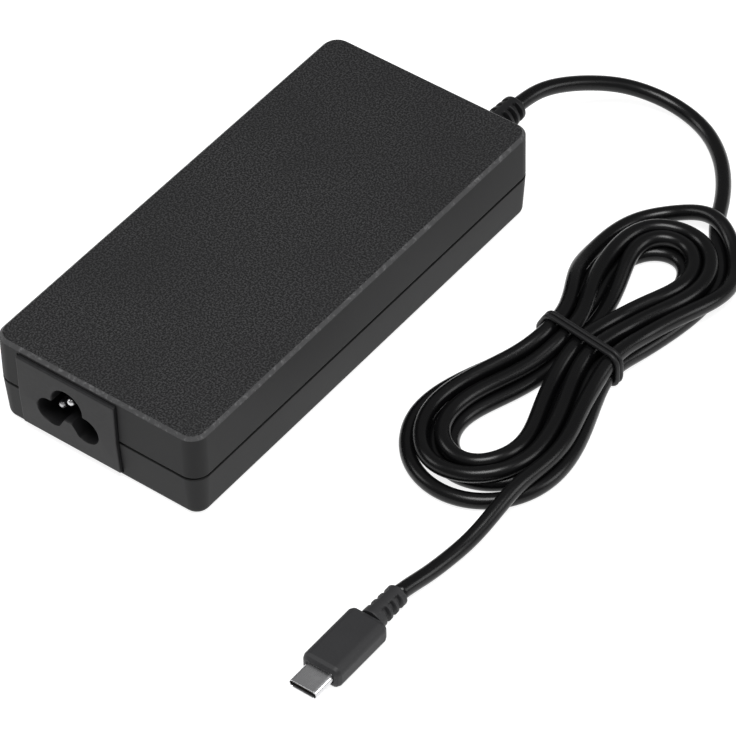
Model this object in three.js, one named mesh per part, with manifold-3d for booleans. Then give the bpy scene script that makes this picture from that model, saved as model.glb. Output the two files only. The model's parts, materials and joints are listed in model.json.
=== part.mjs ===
// Laptop power adapter with a captive USB-C cord. Millimetres, +Z up.
// Origin: middle of the adapter's footprint, on the surface that it stands on.
// The mains inlet faces -Y, the output cord leaves the +Y end.
import * as THREE from 'three';
import { mergeVertices } from 'three/addons/utils/BufferGeometryUtils.js';
import Module from 'manifold-3d';

const wasm = await Module();
wasm.setup();

// ---------------------------------------------------------------- driving dimensions

const clearance = 0.3;      // between pieces that are fitted to each other
const smallClearance = 0.1; // between the small pieces inside the plug
const overshoot = 1;        // how far a cutting solid runs past the face it opens

const housing = {
  width: 65,
  length: 140,
  height: 28,
  cornerRadius: 4.7,
  wall: 2.2,
  seamHeight: 13.7,
  seamGap: 0.6,
  topChamfer: 0.9,
  baseDraft: THREE.MathUtils.degToRad(4),
  baseFillet: 2.2,
  lipWidth: 1.0,
  lipHeight: 1.6,
  cornerSteps: 6,
};

const inlet = {
  centreX: -8.3,
  panelWidth: 31.4,
  panelTop: 26.05,
  panelBottom: 2.5,      // the window starts just under it
  standOut: 1.0,         // how far the panel stands in front of the housing
  panelFillet: 0.4,      // rounding of the panel's bottom edge
  flangeWidth: 34.4,     // hidden flange behind the wall
  flangeThickness: 1.2,
  blockWidth: 23,
  blockBottom: 6.0,
  blockTop: 24.0,
  cavityDepth: 12,
  backWall: 3,
  lobeRadius: 4.3,
  lobeSpread: 5.45,      // live and neutral lobes, each side of the middle
  lobeHeight: 12.2,
  earthLobeRadius: 4.85,
  earthLobeHeight: 17.3,
  notchHeight: 12.0,     // top of the web between the two lower lobes
  notchInset: 0.5,       // the web starts this far inside the pins
  pinDiameter: 2.3,
  pinSpread: 4.6,
  pinHeight: 12.7,
  earthPinHeight: 17.6,
  pinRecess: 2.9,        // from the panel's face back to the pin's tip
  earthPinRecess: 1.1,
  pinTail: 3.2,          // solder tail behind the block
  pinDome: [[0.15, 0.55], [0.6, 0.9], [1.2, 1]],  // distance from the tip, share of the radius
  leadDiameter: 1.6,
  leadDrop: 0.3,         // run of a lead past its landing place, straight down
};

const outlet = {
  x: 14.4,
  baseDiameter: 9.1,
  tipDiameter: 7.2,
  length: 17.2,
  collarDiameter: 12.4,
  collarThickness: 1.5,
  slotCount: 6,
  slotPitch: 2.5,
  slotWidth: 1.2,
  slotDepth: 1.4,
  firstSlot: 2.4,        // from the wall to the middle of the first slot
  bridgeWidth: 2.4,      // rib left standing above and below the slots
  tipChamfer: 0.5,
  wireDiameter: 1.8,
  signalWireDiameter: 1.2,
  wireOffset: 1.5,       // power wires, each side of the middle
  signalRise: 2.4,       // signal wire, above them
  wireRun: [1.6, 3.4, 4.4],  // of a wire's bends, in front of the collar
  wireSag: 0.3,
};

const cord = { diameter: 4.2, sides: 10 };

const label = { width: 44, length: 92, thickness: 0.25, recess: 0.7, cornerRadius: 2 };

const board = {
  sideGap: 1.5,
  thickness: 1.6,
  underside: 5.6,
  frontGap: 6,           // behind the inlet block
  rearGap: 3,            // in front of the outlet's collar
  postInset: 3.5,
  postDiameter: 5,
  spigotDiameter: 2,
};

const spreader = { thickness: 0.6, sideGap: 0.6, endGap: 9, flange: 5, lowerWidth: 43 };
const insulation = { thickness: 0.25, margin: 1 };
const gapPad = { thickness: 1.5, inset: 2 };

// Parts on the board. across runs from -1 to 1 over its half width, along from 0 to 1 over its length.
const fuse = { across: -0.86, along: 0.14, diameter: 5, length: 18, capLength: 4, capRim: 0.3 };
const thermistor = { across: 0.2, along: 0.06, diameter: 10, thickness: 4.5 };
const filmCapacitor = { across: 0.68, along: 0.065, width: 14, depth: 8, height: 11.5 };
const mainsChoke = { across: -0.32, along: 0.19, radius: 9.5, bore: 4.6, height: 7 };
const bridge = { across: 0.54, along: 0.175, width: 20, depth: 3.6, height: 11.5 };
const boostInductor = { across: 0.46, along: 0.37, width: 20, depth: 13.5, leg: 3, post: 3, height: 11.5 };
const bulkCapacitor = { across: [-0.69, -0.09], along: 0.44, length: 28, topGap: 1.5 };
const primarySink = { across: 0.945, along: 0.4, thickness: 1.8, length: 36, topGap: 2 };
const transistor = { width: 10, depth: 4.4, height: 11.5, bodyHeight: 7.1, tab: 1.3, along: [0.31, 0.48] };
const transformer = { across: 0.29, along: 0.7, width: 26, depth: 22, leg: 3.5, post: 5 };
const safetyCapacitor = { across: -0.36, along: 0.61, diameter: 8, thickness: 4 };
const optoCoupler = { across: -0.46, along: [0.69, 0.76], width: 4.6, length: 6.2, height: 3.6 };
const secondarySink = { across: -0.945, along: 0.72, thickness: 1.8, length: 28, topGap: 2 };
const rectifierAlong = 0.72;
const outputCapacitor = { across: [-0.5, -0.14, 0.22], along: 0.88, diameter: 8, height: 11 };
const outputChoke = { across: 0.66, along: 0.885, radius: 6.6, bore: 3.4, height: 5.5 };
const controlBoard = { across: -0.5, along: 0.955, width: 22, thickness: 1.2, height: 11.5 };
const controllerChip = { size: 5, thickness: 1 };
const disc = { edge: 0.8 };                    // rounding of a coated disc's rim
const can = { rim: 0.6, vent: 0.4, crimp: [2.2, 2.8, 3.4, 4.0], crimpDepth: 0.7 };
const sinkFootWidth = 2.6;
const winding = { thickness: 1.4, arc: 2.3 };  // of a toroid, arc in radians

// The plug lies on its broad face, its shell pointing to -Y.
const plug = {
  x: 87.9,
  relief: { rearY: -62.0, length: 11.1, rearDiameter: 6.0, frontDiameter: 6.6, rearChamfer: 0.4 },
  body: { width: 11.4, length: 20, height: 6.7, sideRound: 2.2, endRound: 1.4 },
  shell: { width: 8.25, height: 2.4, wall: 0.25, standOut: 6.6, hidden: 5.5 },
  mouth: { depth: 5.4, gap: 1.1 },
  contact: { count: 12, pitch: 0.5, width: 0.25, thickness: 0.15, length: 4.4, setback: 0.7 },
  latch: { thickness: 0.15, height: 0.6, offset: 3.4, hook: 0.2, setback: 0.6 },
  board: { width: 8.6, length: 8.5, thickness: 0.8 },
  slotCount: 3,
  slotPitch: 2.5,
  slotWidth: 1.4,
  slotDepth: 1.0,
  firstSlot: 2.6,
  bridgeWidth: 3.0,
};

// The hank lies beside the adapter, its long axis along Y, pinched by the tie at its waist.
const hank = {
  x: 75.2,
  waistY: 31.5,
  waistHalf: 12.9,
  loopHalf: 21.3,
  upperY: 66.1,
  lowerY: -8.0,
  height: 10.6,
  waistBottom: 1.8,
  waistTop: 10.2,
  pull: 0.45,            // of the side curves, as a share of a loop's length
};
const tie = { thickness: 1.4, width: 2.8, groundGap: 0.1, outerRound: 3, innerRound: 1 };

// Free stretches of the cord, as chosen along its centre line.
const leadOutPoints = [
  [14.4, 88.0, 13.7], [15.1, 95.0, 13.5], [17.0, 100.6, 12.9], [21.4, 108.2, 11.0], [27.6, 115.4, 8.5],
  [33.8, 119.8, 6.0], [41.0, 122.0, 3.9], [48.6, 121.6, 2.6], [56.0, 118.6, 2.15], [63.4, 112.6, 2.15],
  [69.2, 105.4, 2.15], [73.2, 98.4, 2.15], [76.2, 91.6, 2.15], [79.2, 85.6, 2.15], [83.4, 80.0, 2.15],
];
const plugLeadPoints = [
  [91.6, -13.5, 6.8], [91.6, -20.0, 6.2], [91.6, -26.0, 5.2], [91.5, -32.0, 3.9], [91.0, -38.0, 2.7],
  [90.2, -44.0, 2.2], [89.4, -50.0, 2.15], [88.7, -54.4, 2.4], [88.2, -57.6, 2.9], [88.0, -59.9, 3.25],
  [87.9, -61.7, 3.35],
];

// ---------------------------------------------------------------- places worked out from them

const frontFace = -(housing.length - inlet.standOut) / 2;
const rearFace = frontFace + housing.length;
const panelFace = frontFace - inlet.standOut;
const halfWidth = housing.width / 2;
const middleY = (frontFace + rearFace) / 2;
const upperRim = housing.seamHeight + housing.seamGap / 2;
const lowerRim = housing.seamHeight - housing.seamGap / 2;
const ceiling = housing.height - housing.wall;
const innerRear = rearFace - housing.wall;
const innerFront = frontFace + housing.wall;
const windowBack = innerFront + overshoot;
const inletBack = panelFace + inlet.cavityDepth + inlet.backWall;
const pinTailEnd = inletBack + inlet.pinTail;
const collarDraft = baseInset(housing.seamHeight - outlet.collarDiameter / 2);
const collarFace = innerRear - clearance - collarDraft - outlet.collarThickness;
const boardHalf = halfWidth - housing.wall - baseInset(board.underside) - board.sideGap;
const boardFront = inletBack + board.frontGap;
const boardRear = collarFace - board.rearGap;
const boardTop = board.underside + board.thickness;
const partBase = boardTop + clearance;
const spreaderUnderside = ceiling - clearance - spreader.thickness;
const partCeiling = spreaderUnderside - clearance;
const plugZ = plug.body.height / 2;
const plugBodyRear = plug.relief.rearY - plug.relief.length;
const plugBodyFront = plugBodyRear - plug.body.length;
const shellFront = plugBodyFront - plug.shell.standOut;
const shellRear = plugBodyFront + plug.shell.hidden;

// Inset of the lower housing's outer face at height z, from its draft.
function baseInset(z) {
  return Math.max(0, lowerRim - z) * Math.tan(housing.baseDraft);
}

const across = (fraction) => fraction * boardHalf;
const along = (fraction) => boardFront + fraction * (boardRear - boardFront);

// ---------------------------------------------------------------- solids

function toSolid(geometry) {
  const bare = geometry.clone();
  bare.deleteAttribute('normal');
  bare.deleteAttribute('uv');
  const merged = mergeVertices(bare, 1e-5);
  const triVerts = new Uint32Array(merged.index.array);
  const vertProperties = new Float32Array(merged.attributes.position.array);
  return new wasm.Manifold(new wasm.Mesh({ numProp: 3, vertProperties, triVerts }));
}

function toGeometry(solid) {
  const mesh = solid.getMesh();
  const geometry = new THREE.BufferGeometry();
  geometry.setAttribute('position', new THREE.BufferAttribute(new Float32Array(mesh.vertProperties), 3));
  geometry.setIndex(new THREE.BufferAttribute(new Uint32Array(mesh.triVerts), 1));
  geometry.computeVertexNormals();
  return geometry;
}

function cut(geometry, ...tools) {
  return toGeometry(tools.reduce((solid, tool) => solid.subtract(toSolid(tool)), toSolid(geometry)));
}

function join(geometry, ...others) {
  return toGeometry(others.reduce((solid, other) => solid.add(toSolid(other)), toSolid(geometry)));
}

function box(x0, x1, y0, y1, z0, z1) {
  const geometry = new THREE.BoxGeometry(x1 - x0, y1 - y0, z1 - z0);
  return geometry.translate((x0 + x1) / 2, (y0 + y1) / 2, (z0 + z1) / 2);
}

function boxOn(x, y, width, depth, z0, z1) {
  return box(x - width / 2, x + width / 2, y - depth / 2, y + depth / 2, z0, z1);
}

function post(x, y, diameter, z0, z1, sides = 18) {
  const geometry = new THREE.CylinderGeometry(diameter / 2, diameter / 2, z1 - z0, sides);
  return geometry.rotateX(Math.PI / 2).translate(x, y, (z0 + z1) / 2);
}

// A turned solid about an axis along Y. Each profile point is [distance along Y, radius].
function turnedAlongY(profile, x, y, z, sides = 20) {
  const points = profile.map(([distance, radius]) => new THREE.Vector2(radius, distance));
  return new THREE.LatheGeometry(points, sides).translate(x, y, z);
}

function rodAlongY(x, z, diameter, y0, y1, sides = 16) {
  return turnedAlongY([[0, 0], [0, diameter / 2], [y1 - y0, diameter / 2], [y1 - y0, 0]], x, y0, z, sides);
}

function roundedRectangle(width, height, radius) {
  const shape = new THREE.Shape();
  const x = width / 2;
  const y = height / 2;
  shape.moveTo(x, -y + radius);
  shape.lineTo(x, y - radius);
  shape.absarc(x - radius, y - radius, radius, 0, Math.PI / 2);
  shape.lineTo(-x + radius, y);
  shape.absarc(-x + radius, y - radius, radius, Math.PI / 2, Math.PI);
  shape.lineTo(-x, -y + radius);
  shape.absarc(-x + radius, -y + radius, radius, Math.PI, 1.5 * Math.PI);
  shape.lineTo(x - radius, -y);
  shape.absarc(x - radius, -y + radius, radius, 1.5 * Math.PI, 2 * Math.PI);
  return shape;
}

function prism(shape, z0, z1, curveSegments = 6) {
  const settings = { depth: z1 - z0, bevelEnabled: false, curveSegments };
  return new THREE.ExtrudeGeometry(shape, settings).translate(0, 0, z0);
}

// The same prism stood up so that its length runs from y0 to y1 and its outline is seen from -Y.
function prismAlongY(shape, y0, y1, curveSegments = 6) {
  return prism(shape, 0, y1 - y0, curveSegments).rotateX(Math.PI / 2).translate(0, y1, 0);
}

// One ring of a rounded rectangle, counter-clockwise seen from above.
function ring(halfX, halfY, radius, z, steps) {
  const points = [];
  for (let corner = 0; corner < 4; corner += 1) {
    const signX = corner === 0 || corner === 3 ? 1 : -1;
    const signY = corner < 2 ? 1 : -1;
    for (let step = 0; step <= steps; step += 1) {
      const angle = (corner + step / steps) * Math.PI / 2;
      const x = signX * (halfX - radius) + radius * Math.cos(angle);
      const y = signY * (halfY - radius) + radius * Math.sin(angle);
      points.push([x, y, z]);
    }
  }
  return points;
}

// A closed solid through a stack of rings with equal numbers of points, lowest first.
function loft(rings) {
  const count = rings[0].length;
  const positions = rings.flat(2);
  const index = [];
  for (let level = 0; level + 1 < rings.length; level += 1) {
    for (let i = 0; i < count; i += 1) {
      const a = level * count + i;
      const b = level * count + (i + 1) % count;
      index.push(a, b, b + count, a, b + count, a + count);
    }
  }
  const top = (rings.length - 1) * count;
  for (let i = 1; i + 1 < count; i += 1) {
    index.push(0, i + 1, i);
    index.push(top, top + i, top + i + 1);
  }
  const geometry = new THREE.BufferGeometry();
  geometry.setAttribute('position', new THREE.Float32BufferAttribute(positions, 3));
  geometry.setIndex(index);
  return geometry;
}

// Horizontal section of the housing at height z, its outline moved in by inset.
function housingRing(inset, z) {
  const radius = Math.max(housing.cornerRadius - inset, 0.5);
  return ring(halfWidth - inset, housing.length / 2 - inset, radius, z, housing.cornerSteps);
}

function housingSolid(levels) {
  return loft(levels.map(([inset, z]) => housingRing(inset, z))).translate(0, middleY, 0);
}

// A tube of round section that follows a list of points.
function tube(points, diameter, steps, sides = 8) {
  const curve = new THREE.CatmullRomCurve3(points.map((point) => new THREE.Vector3(...point)));
  const section = new THREE.Shape();
  section.absarc(0, 0, diameter / 2, 0, 2 * Math.PI);
  return new THREE.ExtrudeGeometry(section, { steps, extrudePath: curve, curveSegments: sides });
}

// ---------------------------------------------------------------- group

const finishes = {
  housing: { color: 0x232426, roughness: 0.62, metalness: 0 },
  inletPlastic: { color: 0x28292b, roughness: 0.5, metalness: 0 },
  rubber: { color: 0x1b1b1c, roughness: 0.55, metalness: 0 },
  cordJacket: { color: 0x141415, roughness: 0.38, metalness: 0 },
  plugPlastic: { color: 0x3a3b3d, roughness: 0.55, metalness: 0 },
  bareMetal: { color: 0xc2c3c6, roughness: 0.25, metalness: 1 },
  paper: { color: 0x35363a, roughness: 0.7, metalness: 0 },
  board: { color: 0x1f5a35, roughness: 0.45, metalness: 0 },
  film: { color: 0x2b2d30, roughness: 0.35, metalness: 0 },
  aluminium: { color: 0xb4b6b9, roughness: 0.35, metalness: 1 },
  copper: { color: 0xb06a32, roughness: 0.35, metalness: 1 },
  ferrite: { color: 0x3a3b3f, roughness: 0.7, metalness: 0 },
  chip: { color: 0x18191b, roughness: 0.5, metalness: 0 },
  tape: { color: 0xd8b84a, roughness: 0.5, metalness: 0 },
  capacitorSleeve: { color: 0x1b1f3c, roughness: 0.4, metalness: 0 },
  yellowPlastic: { color: 0xcfa42c, roughness: 0.5, metalness: 0 },
  blueCoating: { color: 0x2a5a9a, roughness: 0.5, metalness: 0 },
  greenCoating: { color: 0x2c6a4a, roughness: 0.5, metalness: 0 },
  ceramic: { color: 0xd9d4c8, roughness: 0.4, metalness: 0 },
  silicone: { color: 0x9aa3ad, roughness: 0.8, metalness: 0 },
  redWire: { color: 0x8c2320, roughness: 0.45, metalness: 0 },
  blueWire: { color: 0x27487e, roughness: 0.45, metalness: 0 },
  brownWire: { color: 0x5b3420, roughness: 0.45, metalness: 0 },
  greenWire: { color: 0x3f7a34, roughness: 0.45, metalness: 0 },
  gold: { color: 0xc79a44, roughness: 0.3, metalness: 1 },
};
const materials = Object.fromEntries(
  Object.entries(finishes).map(([name, values]) => (
    [name, new THREE.MeshStandardMaterial({ name, ...values })]
  )),
);

const adapter = new THREE.Group();

function add(name, geometry, finish) {
  const mesh = new THREE.Mesh(geometry, materials[finish]);
  mesh.name = name;
  adapter.add(mesh);
}

// ---------------------------------------------------------------- housing

// Window in the front wall that the inlet's panel fills.
function inletWindow() {
  const half = inlet.panelWidth / 2 + clearance;
  const top = inlet.panelTop + clearance;
  const bottom = inlet.panelBottom - clearance;
  return box(inlet.centreX - half, inlet.centreX + half, panelFace - overshoot, windowBack, bottom, top);
}

// Hole in the rear wall, half in each shell, for the neck of the strain relief.
function outletHole() {
  const diameter = outlet.baseDiameter + 2 * clearance;
  return rodAlongY(outlet.x, housing.seamHeight, diameter, collarFace, rearFace + overshoot, 24);
}

function postPlaces() {
  const x = boardHalf - board.postInset;
  const ends = [boardFront + board.postInset, boardRear - board.postInset];
  return ends.flatMap((y) => [[-x, y], [x, y]]);
}

function upperHousing() {
  const outer = housingSolid([
    [0, upperRim],
    [0, housing.height - housing.topChamfer],
    [housing.topChamfer, housing.height],
  ]);
  const hollow = housingSolid([[housing.wall, upperRim - overshoot], [housing.wall, ceiling]]);
  const rebateInset = housing.wall - housing.lipWidth - clearance;
  const rebateTop = upperRim + housing.lipHeight + clearance;
  const rebate = housingSolid([[rebateInset, upperRim - overshoot], [rebateInset, rebateTop]]);
  return cut(outer, hollow, rebate, inletWindow(), outletHole());
}

function lowerHousing() {
  const filletSteps = 4;
  const levels = [];
  for (let step = 0; step <= filletSteps; step += 1) {
    const angle = (step / filletSteps) * (Math.PI / 2 - housing.baseDraft);
    const z = housing.baseFillet * (1 - Math.cos(angle));
    const rounding = housing.baseFillet * (1 - Math.sin(angle));
    levels.push([baseInset(z) + rounding, z]);
  }
  levels.push([0, lowerRim]);
  const floorTop = housing.wall;
  const hollow = housingSolid([
    [housing.wall + baseInset(floorTop), floorTop],
    [housing.wall, lowerRim],
    [housing.wall, lowerRim + overshoot],
  ]);
  const lipTop = upperRim + housing.lipHeight;
  const lipOuter = housing.wall - housing.lipWidth;
  const lip = cut(
    housingSolid([[lipOuter, lowerRim - overshoot], [lipOuter, lipTop]]),
    housingSolid([[housing.wall, lowerRim - 2 * overshoot], [housing.wall, lipTop + overshoot]]),
  );
  const posts = postPlaces().flatMap(([x, y]) => [
    post(x, y, board.postDiameter, floorTop / 2, board.underside - clearance, 12),
    post(x, y, board.spigotDiameter, floorTop, boardTop - smallClearance, 10),
  ]);
  const labelPocket = prism(
    roundedRectangle(label.width + 2 * clearance, label.length + 2 * clearance, label.cornerRadius),
    -overshoot,
    label.recess,
  );
  const shell = cut(housingSolid(levels), hollow);
  return cut(join(shell, lip, ...posts), inletWindow(), outletHole(), labelPocket);
}

function ratingLabel() {
  const underside = label.recess - clearance - label.thickness;
  const shape = roundedRectangle(label.width, label.length, label.cornerRadius);
  return prism(shape, underside, underside + label.thickness);
}

// ---------------------------------------------------------------- mains inlet

// Mouth of the inlet: two lower lobes, an upper earth lobe and the space between them.
function cloverCavity() {
  const y0 = panelFace - overshoot;
  const y1 = panelFace + inlet.cavityDepth;
  const lower = [-1, 1].map((side) => {
    const x = inlet.centreX + side * inlet.lobeSpread;
    return rodAlongY(x, inlet.lobeHeight, 2 * inlet.lobeRadius, y0, y1, 28);
  });
  const upper = rodAlongY(inlet.centreX, inlet.earthLobeHeight, 2 * inlet.earthLobeRadius, y0, y1, 28);
  const half = inlet.lobeSpread - inlet.pinDiameter / 2 - inlet.notchInset;
  const middle = box(
    inlet.centreX - half, inlet.centreX + half, y0, y1, inlet.notchHeight, inlet.earthLobeHeight,
  );
  return join(upper, middle, ...lower);
}

// A prism whose outline is drawn with x along Y and y up Z, centred on the inlet.
function inletPrism(shape, width, curveSegments = 4) {
  const solid = prism(shape, -width / 2, width / 2, curveSegments);
  return solid.rotateX(Math.PI / 2).rotateZ(Math.PI / 2).translate(inlet.centreX, 0, 0);
}

// Face panel: upright above the seam, drafted with the housing below it.
function inletPanel() {
  const back = windowBack - clearance;
  const drafted = panelFace + baseInset(inlet.panelBottom + inlet.panelFillet);
  const shape = new THREE.Shape();
  shape.moveTo(back, inlet.panelBottom);
  shape.lineTo(drafted + inlet.panelFillet, inlet.panelBottom);
  shape.absarc(
    drafted + inlet.panelFillet, inlet.panelBottom + inlet.panelFillet, inlet.panelFillet,
    1.5 * Math.PI, Math.PI, true,
  );
  shape.lineTo(panelFace, lowerRim);
  shape.lineTo(panelFace, inlet.panelTop);
  shape.lineTo(back, inlet.panelTop);
  shape.closePath();
  return inletPrism(shape, inlet.panelWidth);
}

// Flange that grips the wall from behind, following its draft.
function inletFlange() {
  const front = innerFront + clearance;
  const bottom = housing.wall + clearance;
  const top = ceiling - clearance;
  const foot = front + baseInset(bottom);
  const shape = new THREE.Shape();
  shape.moveTo(foot, bottom);
  shape.lineTo(foot + inlet.flangeThickness, bottom);
  shape.lineTo(front + inlet.flangeThickness, lowerRim);
  shape.lineTo(front + inlet.flangeThickness, top);
  shape.lineTo(front, top);
  shape.lineTo(front, lowerRim);
  shape.closePath();
  return inletPrism(shape, inlet.flangeWidth);
}

function inletBody() {
  const block = box(
    inlet.centreX - inlet.blockWidth / 2, inlet.centreX + inlet.blockWidth / 2,
    innerFront - overshoot, inletBack, inlet.blockBottom, inlet.blockTop,
  );
  const bore = inlet.pinDiameter + 2 * smallClearance;
  const boreStart = inletBack - 2 * inlet.backWall;
  const bores = pinPlaces().map(({ x, z }) => rodAlongY(x, z, bore, boreStart, inletBack + overshoot, 16));
  return cut(join(inletPanel(), inletFlange(), block), cloverCavity(), ...bores);
}

function pinPlaces() {
  return [
    { name: 'live', x: inlet.centreX - inlet.pinSpread, z: inlet.pinHeight, recess: inlet.pinRecess },
    { name: 'neutral', x: inlet.centreX + inlet.pinSpread, z: inlet.pinHeight, recess: inlet.pinRecess },
    { name: 'earth', x: inlet.centreX, z: inlet.earthPinHeight, recess: inlet.earthPinRecess },
  ];
}

// Round pin with a domed tip at the front and a square-cut solder tail.
function inletPin({ x, z, recess }) {
  const radius = inlet.pinDiameter / 2;
  const tip = panelFace + recess;
  const length = pinTailEnd - tip;
  const dome = inlet.pinDome.map(([distance, share]) => [distance, share * radius]);
  return turnedAlongY([[0, 0], ...dome, [length, radius], [length, 0]], x, tip, z, 14);
}

// Insulated lead from a pin's tail down to the board.
function inletLead({ x, z }, reach) {
  const start = pinTailEnd + clearance;
  const landing = boardFront + reach;
  const foot = partBase + clearance;
  const points = [
    [x, start, z],
    [x, start + (landing - start) * 0.55, z - 0.1 * (z - foot)],
    [x, landing, z - 0.55 * (z - foot)],
    [x, landing + inlet.leadDrop, foot],
  ];
  return tube(points, inlet.leadDiameter, 8, 4);
}

// ---------------------------------------------------------------- output strain relief

// Side slots in a round relief along Y, each leaving a rib above and below.
function sideSlots({ x, z, middles, width, reach, depth, bridge }) {
  return middles.flatMap(({ y, radius }) => [-1, 1].map((side) => {
    const outer = x + side * (radius + reach);
    const inner = x + side * bridge / 2;
    const half = radius + reach;
    const slab = boxOn((outer + inner) / 2, y, Math.abs(outer - inner), width, z - half, z + half);
    return cut(slab, rodAlongY(x, z, 2 * (radius - depth), y - width, y + width, 16));
  }));
}

function outletRelief() {
  const neckRadius = outlet.baseDiameter / 2;
  const tipRadius = outlet.tipDiameter / 2;
  const wallOuter = rearFace + clearance - collarFace;
  const end = rearFace + outlet.length - collarFace;
  const collarEnd = outlet.collarThickness;
  const solid = turnedAlongY([
    [0, 0],
    [0, outlet.collarDiameter / 2],
    [collarEnd, outlet.collarDiameter / 2],
    [collarEnd, neckRadius],
    [wallOuter, neckRadius],
    [end - outlet.tipChamfer, tipRadius],
    [end, tipRadius - outlet.tipChamfer],
    [end, 0],
  ], outlet.x, collarFace, housing.seamHeight, 20);
  const middles = Array.from({ length: outlet.slotCount }, (_, i) => {
    const distance = outlet.firstSlot + i * outlet.slotPitch;
    const radius = THREE.MathUtils.lerp(neckRadius, tipRadius, distance / outlet.length);
    return { y: rearFace + distance, radius };
  });
  const slots = sideSlots({
    x: outlet.x, z: housing.seamHeight, middles, width: outlet.slotWidth, reach: overshoot,
    depth: outlet.slotDepth, bridge: outlet.bridgeWidth,
  });
  return cut(solid, ...slots);
}

// Wire from the strain relief's inner face down to the rear of the board.
function outputWire(offsetX, offsetZ, diameter) {
  const x = outlet.x + offsetX;
  const start = collarFace - clearance;
  const foot = partBase + clearance;
  const z = housing.seamHeight + offsetZ;
  const [bend, middle, landing] = outlet.wireRun;
  const points = [
    [x, start, z],
    [x, start - bend, z - outlet.wireSag],
    [x, start - middle, (z + foot) / 2],
    [x, start - landing, foot],
  ];
  return tube(points, diameter, 8, 4);
}

// ---------------------------------------------------------------- board and sheets

function mainBoard() {
  const plate = box(-boardHalf, boardHalf, boardFront, boardRear, board.underside, boardTop);
  const holes = postPlaces().map(([x, y]) => (
    post(x, y, board.spigotDiameter + 2 * clearance, board.underside - overshoot, boardTop + overshoot, 12)
  ));
  return cut(plate, ...holes);
}

function upperSpreader() {
  const half = halfWidth - housing.wall - spreader.sideGap;
  const front = boardFront + spreader.endGap;
  const rear = boardRear - spreader.endGap;
  const top = spreaderUnderside + spreader.thickness;
  const plate = box(-half, half, front, rear, spreaderUnderside, top);
  const flanges = [-1, 1].map((side) => {
    const outer = side * half;
    const inner = side * (half - spreader.thickness);
    return box(Math.min(outer, inner), Math.max(outer, inner), front, rear, top - spreader.flange, top);
  });
  return join(plate, ...flanges);
}

function lowerSpreader() {
  const z0 = housing.wall + clearance;
  const rear = boardRear - spreader.endGap;
  const front = boardFront + spreader.endGap;
  return box(-spreader.lowerWidth / 2, spreader.lowerWidth / 2, front, rear, z0, z0 + spreader.thickness);
}

function insulationSheet() {
  const z0 = housing.wall + 2 * clearance + spreader.thickness;
  const half = spreader.lowerWidth / 2 + insulation.margin;
  const front = boardFront + spreader.endGap - insulation.margin;
  const rear = boardRear - spreader.endGap + insulation.margin;
  const halfClear = Math.min(half, boardHalf - board.postInset - board.postDiameter / 2 - smallClearance);
  return box(-halfClear, halfClear, front, rear, z0, z0 + insulation.thickness);
}

// ---------------------------------------------------------------- parts on the board

function fuseBody() {
  const radius = fuse.diameter / 2;
  const cap = radius + fuse.capRim;
  const farCap = fuse.length - fuse.capLength;
  const profile = [
    [0, 0], [0, cap], [fuse.capLength, cap], [fuse.capLength, radius],
    [farCap, radius], [farCap, cap], [fuse.length, cap], [fuse.length, 0],
  ];
  const start = along(fuse.along) - fuse.length / 2;
  return turnedAlongY(profile, across(fuse.across), start, partBase + cap, 14);
}

// Coated disc stood on its two legs, its faces looking along Y.
function discPart({ across: a, along: l, diameter, thickness }, turned = false) {
  const x = across(a);
  const y = along(l);
  const radius = diameter / 2;
  const z = partBase + radius;
  const edge = Math.min(disc.edge, thickness / 3);
  const profile = [
    [-thickness / 2, 0], [-thickness / 2, radius - edge], [-thickness / 2 + edge, radius],
    [thickness / 2 - edge, radius], [thickness / 2, radius - edge], [thickness / 2, 0],
  ];
  const body = turnedAlongY(profile, 0, 0, 0, 16);
  return body.rotateZ(turned ? Math.PI / 2 : 0).translate(x, y, z);
}

function brick({ across: a, along: l, width, depth, height }, chamfer = 0.8) {
  const shape = roundedRectangle(width, depth, chamfer);
  return prism(shape, partBase, partBase + height, 2).translate(across(a), along(l), 0);
}

// Ring core lying flat on the board.
function toroidCore({ across: a, along: l, radius, bore, height }) {
  const z0 = partBase + winding.thickness + clearance;
  const profile = [[bore, 0], [radius, 0], [radius, height], [bore, height], [bore, 0]];
  const points = profile.map(([r, h]) => new THREE.Vector2(r, h));
  const core = new THREE.LatheGeometry(points, 24).rotateX(Math.PI / 2);
  return core.translate(across(a), along(l), z0);
}

// Wire wound round one side of a ring core, as a sleeve that the core passes through.
function toroidWinding({ across: a, along: l, radius, bore, height }, middleAngle) {
  const x = across(a);
  const y = along(l);
  const z0 = partBase;
  const z1 = partBase + height + 2 * (winding.thickness + clearance);
  const outer = radius + clearance + winding.thickness;
  const inner = bore - clearance - winding.thickness;
  const shape = new THREE.Shape();
  shape.absarc(0, 0, outer, middleAngle - winding.arc / 2, middleAngle + winding.arc / 2);
  shape.absarc(0, 0, inner, middleAngle + winding.arc / 2, middleAngle - winding.arc / 2, true);
  shape.closePath();
  const sleeve = prism(shape, z0, z1, 8).translate(x, y, 0);
  const z2 = z0 + winding.thickness;
  const z3 = z1 - winding.thickness;
  const profile = [
    [bore - clearance, z2], [radius + clearance, z2], [radius + clearance, z3], [bore - clearance, z3],
    [bore - clearance, z2],
  ];
  const points = profile.map(([r, h]) => new THREE.Vector2(r, h));
  const hollow = new THREE.LatheGeometry(points, 24).rotateX(Math.PI / 2);
  return cut(sleeve, toSpan(hollow, z2, z3).translate(x, y, 0));
}

// Moves a solid that rotateX turned about the origin back to span z0 to z1.
function toSpan(geometry, z0, z1) {
  geometry.computeBoundingBox();
  const { min, max } = geometry.boundingBox;
  return geometry.translate(0, 0, (z0 + z1) / 2 - (min.z + max.z) / 2);
}

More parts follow.
